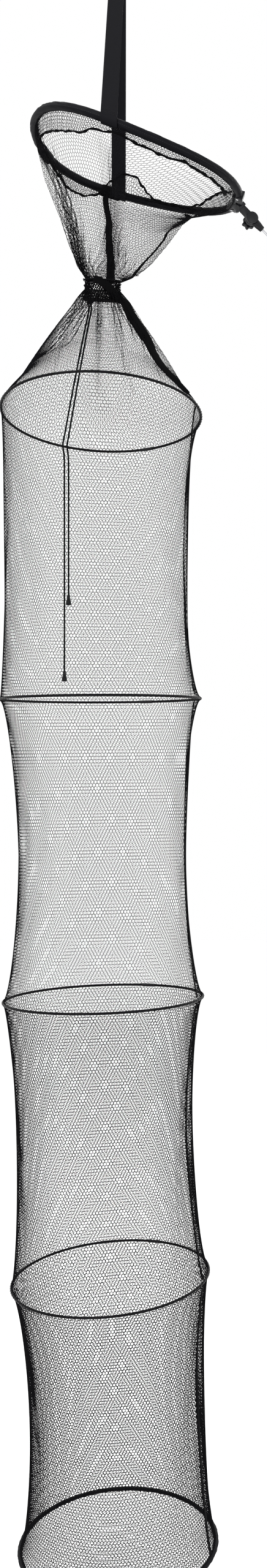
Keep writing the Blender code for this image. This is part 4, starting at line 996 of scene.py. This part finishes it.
def funnel_points(turn, drop):
    """The funnel's surface without its pleats: from the rim's foot, drop 0, to the neck, drop 1. It is drawn
    in on its right and left by the pulls, and its far wall bows out by half a sine."""
    turn, drop = np.broadcast_arrays(turn, drop)
    top = rim_points(turn, -SLEEVE_RADIUS * 0.3, -SLEEVE_RADIUS * 0.9)
    foot = hoop_points(NECK_MIDDLE, NECK_TILT, NECK_RADIUS - FUNNEL_INSET, NECK_HEIGHT / 2, turn)
    levels, rights, lefts = np.array(FUNNEL_PULLS).T
    right = np.interp(drop, levels, rights) * np.maximum(0, np.cos(turn))
    left = np.interp(drop, levels, lefts) * np.maximum(0, -np.cos(turn))
    place = drawn_wall(top, foot, turn, drop, right + left)
    place[..., 0] += side_fold(turn, drop, (RIM_RADIUS, NECK_RADIUS), FUNNEL_FLATNESS, FUNNEL_FOLD_ENDS)
    place[..., 1] += FUNNEL_BACK * np.sin(math.pi * drop) * np.maximum(0, np.sin(turn))
    return place


def cone_points(turn, drop):
    """The cone's surface without its pleats: from the middle of the neck, drop 0, to the first hoop. It
    bulges at its right and left and has a waist at the near and far side, both by half a sine."""
    turn, drop = np.broadcast_arrays(turn, drop)
    top = hoop_points(NECK_MIDDLE, NECK_TILT, NECK_RADIUS - CONE_INSET, 0.0, turn)
    foot = hoop_points(HOOP_MIDDLES[0], HOOP_TILTS[0], HOOP_RADIUS, CONE_FOOT_LIFT, turn)
    pull = (CONE_WAIST * np.sin(turn) ** 2 - CONE_BULGE * np.cos(turn) ** 2) * np.sin(math.pi * drop)
    place = drawn_wall(top, foot, turn, drop, pull)
    place[..., 0] += side_fold(turn, drop, (NECK_RADIUS, HOOP_RADIUS), CONE_FLATNESS, CONE_FOLD_ENDS)
    return place


def between(values, share):
    """A value read along a short list of them, from the first at share 0 to the last at 1."""
    return np.interp(share, np.linspace(0, 1, len(values)), values)


def pleated_wall(points, pleats, top, foot, pleat_reach, stretch, lean):
    """A wall of net that is wide at one end and drawn in at the other, with its radius at the top and foot.
    Its meshes keep their width between the pleats, and the spare ones are drawn together in the pleats, each
    a bell-shaped crowd of meshes round its middle, where the net also folds in and out."""
    wide = max(top, foot)
    levels, shares = np.linspace(0, 1, PLEAT_LEVELS), np.linspace(0, 1, PLEAT_STEPS)
    turns = shares * TAU + SEAM_TURN
    table, crowds = [], []
    for level in levels:
        radius = top + (foot - top) * level
        from_neck = level if foot > top else 1 - level
        drawn = ease((1 - from_neck) * 3)
        spare = max(1 - radius / wide / (1 + stretch * drawn), LEAST_SPARE)
        spare *= np.clip(1 - from_neck / pleat_reach, 0, 1) ** PLEAT_POWER
        crowd = np.zeros_like(turns)
        for route, share, half in pleats:
            middle = math.radians(between(route, level))
            reach = half / radius * (1 + PLEAT_SPREAD * math.exp(-from_neck * pleat_reach / PLEAT_FADE))
            away = (turns - middle + math.pi) % TAU - math.pi
            crowd += share * np.exp(-((away / reach) ** 2) / 2) / (reach * math.sqrt(TAU))
        left = 1 - spare * sum(share for _, share, _ in pleats)
        crowd = crowd * spare
        even = left / TAU * (1 - drawn * (lean[0] * np.cos(turns) + lean[1] * np.cos(2 * turns)))
        both = crowd + even
        counted = np.append(0, np.cumsum(both[1:] + both[:-1]))
        row = np.interp(shares, counted / counted[-1], turns)
        table.append(row)
        crowds.append(np.interp(row, turns, crowd / both))
    table, crowds = np.array(table), np.array(crowds)

    def read(values, share_round, drop):
        """A value from a table [level, share round], even between its four nearest entries."""
        i, j = drop * (len(levels) - 1), share_round * (len(shares) - 1)
        low, first = np.minimum(i.astype(int), len(levels) - 2), np.minimum(j.astype(int), len(shares) - 2)
        i, j = i - low, j - first
        upper = values[low, first] * (1 - j) + values[low, first + 1] * j
        lower = values[low + 1, first] * (1 - j) + values[low + 1, first + 1] * j
        return upper * (1 - i) + lower * i

    def wall(share_round, drop):
        """The surface's points at the turns read from the table, with folds where the meshes crowd."""
        turn, crowd = read(table, share_round, drop), read(crowds, share_round, drop)
        fixed = np.clip(np.minimum(drop, 1 - drop) * 10, 0, 1)
        around = share_round * TAU
        swing = np.sin(around * PLEAT_WAVES + 3 * np.sin(drop * 7))
        swing += 0.5 * np.sin(around * (2 * PLEAT_WAVES + 5) + drop * 31)
        return points(turn, drop) + level_way(turn) * (FOLD_DEPTH * swing * crowd * fixed)[..., None]

    return wall


def tape_piece(name, middle, across, out, width, rise):
    """A flat tape along a line of middles: at each, a width across, and the section's rise out of the net."""
    wide = across[:, None] * (TAPE_ACROSS * width[:, None])[..., None]
    grid = middle[:, None] + wide + out[:, None] * rise[:, None]
    return surface(name, grid, tape_cloth, across=True, capped=True)


def seam_strip(name, points, turns, widths, rows=TAPE_ROWS, sway=0.0, lift=NET_STRAND):
    """A flat tape down a surface of net. Its turn in degrees and its width go through a few values on the
    way down, and it lies outside the net by the lift."""
    drop = np.linspace(0.004, 0.996, rows)
    turn = np.radians(between(turns, drop)) + sway * np.sin(drop * 5.0 + turns[0])
    middle = points(turn, drop)
    across = unit(points(turn + 0.01, drop) - points(turn - 0.01, drop))
    out = unit(np.cross(across, way_along(middle)))
    out = out * np.sign(np.einsum("ij,ij->i", out, level_way(turn)))[:, None]
    return tape_piece(name, middle, across, out, between(widths, drop), TAPE_RISE * TAPE_THICK + lift)


def span_down(middle, rotation, depths):
    """Two points that end a span: two depths below a tilted hoop's middle, along its own axis. A depth
    under 0 is above it."""
    start, end = (tuple(middle - rotation[:, 2] * depth) for depth in depths)
    return dict(start=start, end=end)


mouth_wall = pleated_wall(
    funnel_points, FUNNEL_PLEATS, RIM_RADIUS, NECK_RADIUS, FUNNEL_REACH, FUNNEL_STRETCH, FUNNEL_LEAN
)
cone_wall = pleated_wall(
    cone_points, CONE_PLEATS, NECK_RADIUS, HOOP_RADIUS, CONE_REACH, CONE_STRETCH, CONE_LEAN
)
mouth = net_piece(
    "mouth_mesh", net_yarn, mouth_wall, round_facing, FUNNEL_COLUMNS, FUNNEL_ROWS, width=FUNNEL_STRAND
)
cone = net_piece("cone_mesh", net_yarn, cone_wall, round_facing, NET_COLUMNS, CONE_ROWS, width=CONE_STRAND)
mouth_tape = seam_strip("mouth_seam", funnel_points, MOUTH_TAPE_TURNS, MOUTH_TAPE_WIDTHS, lift=0.003)
side_tape = seam_strip("mouth_side_seam", funnel_points, SIDE_TAPE_TURNS, SIDE_TAPE_WIDTHS, lift=0.002)

# The cone's seam tape comes over the neck from the left of its top edge, and runs on down to the hoop. Its
# places are (turn in degrees, height) on the neck, and (turn in degrees, share of the way down) on the cone.
TAPE_OVER_NECK = ((-114, 0.0200), (-98, 0.0165), (-78, 0.0090), (-56, -0.0030), (-40, -0.0135))
TAPE_DOWN_CONE = (
    (-32, 0.12),
    (-31, 0.24),
    (-30, 0.36),
    (-28, 0.48),
    (-30, 0.60),
    (-33, 0.74),
    (-34, 0.87),
    (-30, 0.975),
)
TAPE_WIDTHS = (0.013, 0.019, 0.024, 0.025, 0.023, 0.018, 0.014, 0.010)
# How far the tape's face is turned towards the near side, how far it stands off the net at its top, and the
# share of that which it has lost at its foot.
TAPE_FACING = 0.8
TAPE_STAND = 0.0030
TAPE_SETTLE = 0.7
TAPE_STEP = 0.004
CONE_TAPE_RISE = np.array([0.0005, 0.0010, 0.0012, 0.0010, 0.0005, 0.0, 0.0, 0.0]) - TAPE_THICK / 2
turn, height = np.array(TAPE_OVER_NECK).T
upper = hoop_points(NECK_MIDDLE, NECK_TILT, NECK_RADIUS + TAPE_STAND, height, np.radians(turn))
turn, drop = np.array(TAPE_DOWN_CONE).T
turn = np.radians(turn)
lower = cone_points(turn, drop) + level_way(turn) * TAPE_STAND * (1 - TAPE_SETTLE * drop[:, None])
route, _ = smooth_route(np.vstack([upper, lower]), TAPE_STEP)
level = unit(unit((route - NECK_MIDDLE) * (1, 1, 0)) - (0, TAPE_FACING, 0))
across = unit(np.cross(level, way_along(route)))
out = np.cross(way_along(route), across)
width = between(TAPE_WIDTHS, np.linspace(0, 1, len(route)))
cone_tape = tape_piece("cone_seam", route, across, out, width, CONE_TAPE_RISE)

MOUTH_SPAN = span_down(RIM_MIDDLE, RIM_TILT, MOUTH_DEPTHS)
CONE_SPAN = span_down(HOOP_MIDDLES[0], HOOP_TILTS[0], CONE_DEPTHS)
for piece, bodies, span, slot, *nodes in (
    (mouth, MOUTH_BODIES, MOUTH_SPAN, "net", "mouth_net"),
    (mouth_tape, MOUTH_BODIES, MOUTH_SPAN, "tape", "mouth_seam_tape"),
    (side_tape, MOUTH_BODIES, MOUTH_SPAN, "tape"),
    (cone, CONE_BODIES, CONE_SPAN, "net", "cone_net"),
    (cone_tape, CONE_BODIES, CONE_SPAN, "tape", "cone_seam_tape"),
):
    dress_between(piece, bodies, span, slot, *nodes)

# The top of the mouth's tape is turned once round the rim.
TURN_OVER = (math.radians(101), math.radians(113))
TURN_OVER_ROWS = 18

wrap = rim_wrap("mouth_seam_turn", TURN_OVER, TURN_OVER_ROWS, 0.35, 0.4, tape_cloth)
dress(wrap, "head", "tape")

# The gathered neck: two layers of net, the drawstring in its channel, and its knot.
NECK_COLUMNS = 44
NECK_ROWS = 8
NECK_STRAND = 0.0013
NECK_CREASES = ((19, 2.2, 0.8), (31, 0.2, 1), (47, 4.0, 0.5))
KNOT_MIDDLE = (-0.05755, 0.04572, -0.66225)
KNOT_HALF_SIZES = (0.0057, 0.0057, 0.0062)
KNOT_STEPS = 160


def neck_points(share_round, drop, depth):
    """The doubled band of net round the neck, a depth inside its radius, crumpled into pleats."""
    turn = share_round * TAU
    crumple = waves(turn + drop, NECK_PLEAT, *NECK_CREASES)
    waist = 1 - 0.02 * np.sin(math.pi * drop)
    reach = (NECK_RADIUS - depth + crumple) * waist
    return hoop_points(NECK_MIDDLE, NECK_TILT, reach, NECK_HEIGHT * (0.5 - drop), turn)


def neck_facing(share_round, drop):
    """The level direction out of the neck."""
    return level_way(share_round * TAU)


for name, depth, columns, rows, *nodes in (
    ("neck_net_outside", 0.0025, NECK_COLUMNS, NECK_ROWS, "neck_band"),
    ("neck_net_inside", 0.0055, NECK_COLUMNS - 5, NECK_ROWS - 1),
):
    band = net_piece(
        name,
        net_yarn,
        lambda share, drop, depth=depth: neck_points(share, drop, depth),
        neck_facing,
        columns,
        rows,
        width=NECK_STRAND,
    )
    dress(band, "neck", "sleeve_cloth", *nodes)

turn = np.linspace(0, TAU, 240, endpoint=False)
for name, drop, depth, radius, *nodes in (
    ("neck_cord", 0.93, 0.0012, CORD_RADIUS, "neck_drawstring"),
    ("neck_top_binding", 0.03, 0.0022, CORD_RADIUS * 0.7),
):
    path = neck_points(turn / TAU, np.full_like(turn, drop), depth)
    grid = tube_grid(path, radius, CORD_SIDES, (0, 0, 1), closed=True)
    dress(surface(name, grid, braided_cord, across=True, along=True), "neck", "cord", *nodes)

# The knot is a trefoil: three lobes round, crossing over and under.
turn = np.linspace(0, TAU, KNOT_STEPS, endpoint=False)
reach = (2 + np.cos(3 * turn)) / 3
lobes = np.stack([reach * np.cos(2 * turn), reach * np.sin(2 * turn), np.sin(3 * turn) * 0.9], axis=1)
path = lobes * KNOT_HALF_SIZES + KNOT_MIDDLE
grid = tube_grid(path, CORD_RADIUS * 1.15, CORD_SIDES, (0.3, 0.2, 1), closed=True)
knot = surface("cord_knot", grid, braided_cord, across=True, along=True)
dress(knot, "neck", "cord", "neck_knot")


# Hoops
# Each is a rod of smooth black plastic bent round and joined in a crimped ferrule. The net's edge is
# lashed to it with a thread that winds round the rod.
ROD_RADIUS = 0.0025
HOOP_SIDES = 14
HOOP_ROWS = 180
HOOP_COLOR = (0.003, 0.003, 0.004)
LASHING_PITCH = 0.012
LASHING_RADIUS = 0.0003
FERRULE_TURN = math.radians(62)
FERRULE_HALF_LENGTH = 0.015
FERRULE_RADIUS = 0.0033
FERRULE_ROWS = 15
FERRULE_COLOR = (0.030, 0.030, 0.032)
# How far a ferrule is squeezed in at its two crimps, and its radius at its ends as a share.
CRIMP_DEPTH = 0.05
FERRULE_END = 0.88

hoop_plastic = moulded_look("hoop plastic", HOOP_COLOR, 0.32, grain=0.003, depth=0.00003, gloss=0.1)
crimped_steel = moulded_look("crimped steel", FERRULE_COLOR, 0.45, metallic=1.0)


def ring_grid(n, turn, reach, angle):
    """Points round a hoop's rod: reach out of its middle line at an angle round it."""
    out, up = reach * np.cos(angle), reach * np.sin(angle)
    return hoop_points(HOOP_MIDDLES[n], HOOP_TILTS[n], HOOP_RADIUS + out, up, turn)


angle = (np.arange(HOOP_SIDES) * TAU / HOOP_SIDES)[None, :]
round_rod = (np.arange(HOOP_ROWS) * TAU / HOOP_ROWS)[:, None]
share = np.linspace(-1, 1, FERRULE_ROWS)[:, None]
crimped = FERRULE_RADIUS * (1 - CRIMP_DEPTH * np.exp(-((np.abs(share) - 0.5) ** 2) / 0.01))
crimped = np.where(np.abs(share) > 0.99, FERRULE_END, 1.0) * crimped
for n in range(5):
    grid = ring_grid(n, round_rod, ROD_RADIUS, angle)
    rod = surface(f"hoop_rod_{n + 1}", grid, hoop_plastic, across=True, along=True)
    dress(rod, f"ring_{n + 1}", "hoop_plastic", f"hoop_{n + 1}")
    turn = FERRULE_TURN + FERRULE_HALF_LENGTH / HOOP_RADIUS * share
    grid = ring_grid(n, turn, crimped, angle)
    ferrule = surface(f"ferrule_{n + 1}", grid, crimped_steel, across=True, capped=True)
    dress(ferrule, f"ring_{n + 1}", "steel", f"hoop_{n + 1}_ferrule")
    if n == 4:
        # The last hoop is inside the bottom sleeve, so nothing is lashed to it.
        continue
    winds = round(TAU * HOOP_RADIUS / LASHING_PITCH)
    turn = np.linspace(0, TAU, winds * 10, endpoint=False)
    coil = ring_grid(n, turn, ROD_RADIUS + LASHING_RADIUS * 1.6, turn * winds)
    grid = tube_grid(coil, LASHING_RADIUS, 4, HOOP_TILTS[n][:, 2] + 0.01, closed=True)
    dress(surface(f"lashing_{n + 1}", grid, tape_cloth, True, True), f"ring_{n + 1}", "net")


# Net sections and seam tapes
# Each wall between two hoops is one tube of knitted net with its seam under a tape on the right. It is
# drawn in between the hoops by its own weight. Two panels make each, so that a mesh stays a handy size.
SECTION_ROWS = 93
WAISTS_LEFT = (0.0090, 0.0320, 0.0180, 0.0280)
WAISTS_RIGHT = (0.0175, 0.0180, 0.0250, 0.0180)
# How far each section is flattened beside its seam: 0 leaves it round.
FACETS = (1.0, 1.0, 0.15, 0.0)
SECTION_STRANDS = (0.00070, 0.00068, 0.00098, 0.00116)
SEAM_WIDTHS = (0.0080, 0.0080, 0.0100, 0.0120)
SEAM_ROWS = 90
SEAM_SWAY = 0.02
WAIST_FLATNESS = 0.6
SECTION_SWAY = 0.0016
# How far under its upper hoop, and above its lower one, a section's span starts and ends.
EDGE_SPANS = ((0.030, 0.008), (0.008, 0.010), (0.010, 0.021), (0.021, 0.017))


def section_wall(n):
    """A function of (share round, drop) for the wall under hoop n: even between its two hoops, drawn in
    between them by a power of a sine, and swaying a little."""

    def wall(share_round, drop):
        """Points of the wall, drawn in by more on one side than on the other, and flatter at the seam."""
        turn = share_round * TAU + SEAM_TURN
        top = ring_grid(n, turn, ROD_RADIUS + NET_STRAND, -0.5 * math.pi)
        foot = ring_grid(n + 1, turn, ROD_RADIUS + NET_STRAND, 0.5 * math.pi)
        half = (WAISTS_RIGHT[n] - WAISTS_LEFT[n]) / 2 * np.cos(turn)
        depth = (WAISTS_RIGHT[n] + WAISTS_LEFT[n]) / 2 + half
        drawn = np.maximum(0, np.sin(math.pi * drop)) ** WAIST_FLATNESS
        side = np.maximum(0, np.cos(turn) - math.cos(SEAM_TURN)) * HOOP_RADIUS * FACETS[n]
        pull = depth * drawn + side * drawn / np.maximum(np.cos(turn), 0.5)
        sway = waves(turn + 0.6 * drop, SECTION_SWAY, (5, n * 1.3, 1), (9, n + 0.7, 0.6), (16, n * 2.1, 0.4))
        pull = pull + sway * np.sin(math.pi * drop)
        return drawn_wall(top, foot, turn, drop, pull)

    return wall


def seam_surface(wall):
    """A wall's points by turn in place of share round."""
    return lambda turn, drop: wall((turn - SEAM_TURN) / TAU, drop)


for n, (below, above) in enumerate(EDGE_SPANS):
    wall = section_wall(n)
    bodies = (f"ring_{n + 1}", f"ring_{n + 2}")
    middle = HOOP_MIDDLES[n]
    span = dict(start=tuple(middle - (0, 0, below)), end=(*middle[:2], HOOP_MIDDLES[n + 1][2] + above))
    panels = []
    for label, first in (("a", 0), ("b", NET_COLUMNS)):
        name = f"net_{n + 1}_panel_{label}"
        part_round = dict(first=first, last=first + NET_COLUMNS, width=SECTION_STRANDS[n])
        panel = net_piece(name, net_yarn, wall, round_facing, NET_COLUMNS, SECTION_ROWS, **part_round)
        panels.append(panel)
    turns = (math.degrees(SEAM_TURN),) * 2
    widths = (SEAM_WIDTHS[n],)
    tape = seam_strip(f"seam_{n + 1}", seam_surface(wall), turns, widths, rows=SEAM_ROWS, sway=SEAM_SWAY)
    dress_between(panels[0], bodies, span, "net", f"net_section_{n + 1}")
    dress_between(panels[1], bodies, span, "net")
    dress_between(tape, bodies, span, "tape", f"seam_tape_{n + 1}")


# Bottom
# The last hoop is sewn into a cloth sleeve, and a flat round of net closes the bag inside it.
BOTTOM_SLEEVE_OUT = 0.0052
BOTTOM_SLEEVE_UP = 0.0036
BOTTOM_SLEEVE_ROWS = 260
BOTTOM_SLEEVE_SIDES = 18
BOTTOM_WRINKLE = 0.0003
BOTTOM_CREASES = ((41, 0.4, 1), (73, 1.9, 0.7), (23, 4.0, 0.9))
BOTTOM_SAG = 0.004
BOTTOM_EDGE = 0.002

turn = (np.arange(BOTTOM_SLEEVE_ROWS) * TAU / BOTTOM_SLEEVE_ROWS)[:, None]
angle = (np.arange(BOTTOM_SLEEVE_SIDES) * TAU / BOTTOM_SLEEVE_SIDES)[None, :]
creases = waves(turn + 0.2 * angle, BOTTOM_WRINKLE, *BOTTOM_CREASES)
reach = 1 / np.hypot(np.cos(angle) / BOTTOM_SLEEVE_OUT, np.sin(angle) / BOTTOM_SLEEVE_UP) + creases
grid = ring_grid(4, turn, reach, angle)
foot = surface("bottom_sleeve_cloth", grid, sleeve_cloth, across=True, along=True)
dress(foot, "ring_5", "sleeve_cloth", "bottom_sleeve")


def disc_net():
    """The bottom net: rows of six-sided meshes laid straight across and kept where they lie inside the hoop,
    which sag towards the middle by the square of the distance from it."""
    rows = int(2 * HOOP_RADIUS / NET_ROW) + 2
    columns = int(2 * HOOP_RADIUS / NET_MESH) + 2

    def upwards(share, drop):
        """The way up, for every point."""
        return np.broadcast_to((0.0, 0.0, 1.0), (*share.shape, 3))

    def flat(share, drop):
        """Points of a level sheet by share of its width and of its depth."""
        x = (share - 0.5) * columns * NET_MESH
        y = (drop - 0.5) * rows * NET_ROW
        return np.stack([x, y, np.zeros_like(x)], axis=-1)

    corners, quads = net_lattice(flat, upwards, columns, rows)
    strands = corners.reshape(-1, 6, 3)
    inside = np.linalg.norm(strands[..., :2].mean(axis=1), axis=1) < HOOP_RADIUS - BOTTOM_EDGE
    corners = strands[inside].reshape(-1, 3)
    reach = np.linalg.norm(corners[:, :2], axis=1)
    corners[:, 2] -= BOTTOM_SAG * (1 - (reach / HOOP_RADIUS) ** 2)
    quads = quads[: 3 * inside.sum()]
    corners = corners @ HOOP_TILTS[4].T + HOOP_MIDDLES[4]
    return mesh_piece("bottom_mesh", corners, quads.ravel(), np.arange(len(quads)) * 4, net_yarn)


dress(disc_net(), "ring_5", "net", "bottom_net")


# Studio
# A pale floor under the net, a white surround that only the camera and shiny surfaces see, and soft lamps.
FLOOR_HEIGHT = -3.32
FLOOR_HALF = 12.0
FLOOR_COLOR = (0.80, 0.80, 0.80)
FLOOR_GLOW = 0.52
SURROUND_LIGHT = 0.55


def seen_directly(tree):
    """1 for what the camera sees itself, in a shiny surface or through a clear one, and otherwise 0."""
    rays = add_node(tree, "ShaderNodeLightPath").outputs
    seen = sum_node(tree, "MAXIMUM", rays["Is Camera Ray"], rays["Is Glossy Ray"])
    return sum_node(tree, "MAXIMUM", seen, rays["Is Transmission Ray"])


mesh = bpy.data.meshes.new("floor")
side = FLOOR_HALF
mesh.from_pydata([(-side, -side, 0), (side, -side, 0), (side, side, 0), (-side, side, 0)], [], [(0, 1, 2, 3)])
floor = bpy.data.objects.new("floor", mesh)
floor.location = (0, 0, FLOOR_HEIGHT)
bpy.context.scene.collection.objects.link(floor)
pale, shader = new_look("pale floor", FLOOR_COLOR, 0.9)
tree = pale.node_tree
strength = sum_node(tree, "MULTIPLY", seen_directly(tree), FLOOR_GLOW)
shader.inputs["Emission Color"].default_value = (1, 1, 1, 1)
tree.links.new(strength, shader.inputs["Emission Strength"])
mesh.materials.append(pale)

world = bpy.data.worlds.new("surround")
world.use_nodes = True
tree = world.node_tree
background = tree.nodes["Background"]
background.inputs["Color"].default_value = (1, 1, 1, 1)
level = sum_node(tree, "MULTIPLY_ADD", seen_directly(tree), 1 - SURROUND_LIGHT, SURROUND_LIGHT)
tree.links.new(level, background.inputs["Strength"])
bpy.context.scene.world = world

# Each lamp: its name, its place, the point that it is aimed at, its width, and its watts.
for name, place, aim, size, watts in (
    ("key", (-2.2, -2.6, 1.6), (0, 0, -1.0), 2.0, 70),
    ("fill", (2.6, -2.2, -0.6), (0, 0, -1.8), 2.4, 35),
    ("low", (-1.2, -2.8, -2.6), (0, 0, -2.4), 2.0, 25),
    ("back", (0.8, 2.8, 0.8), (0, 0, -1.4), 2.2, 40),
):
    lamp = bpy.data.objects.new(name, bpy.data.lights.new(name, "AREA"))
    lamp.data.shape = "DISK"
    lamp.data.size = size
    lamp.data.energy = watts
    lamp.location = place
    way = np.array(place) - np.array(aim)
    down = math.acos(way[2] / np.linalg.norm(way))
    lamp.rotation_euler = (down, 0, math.atan2(way[1], way[0]) + math.pi / 2)
    bpy.context.scene.collection.objects.link(lamp)

bpy.context.scene.view_settings.view_transform = "Standard"
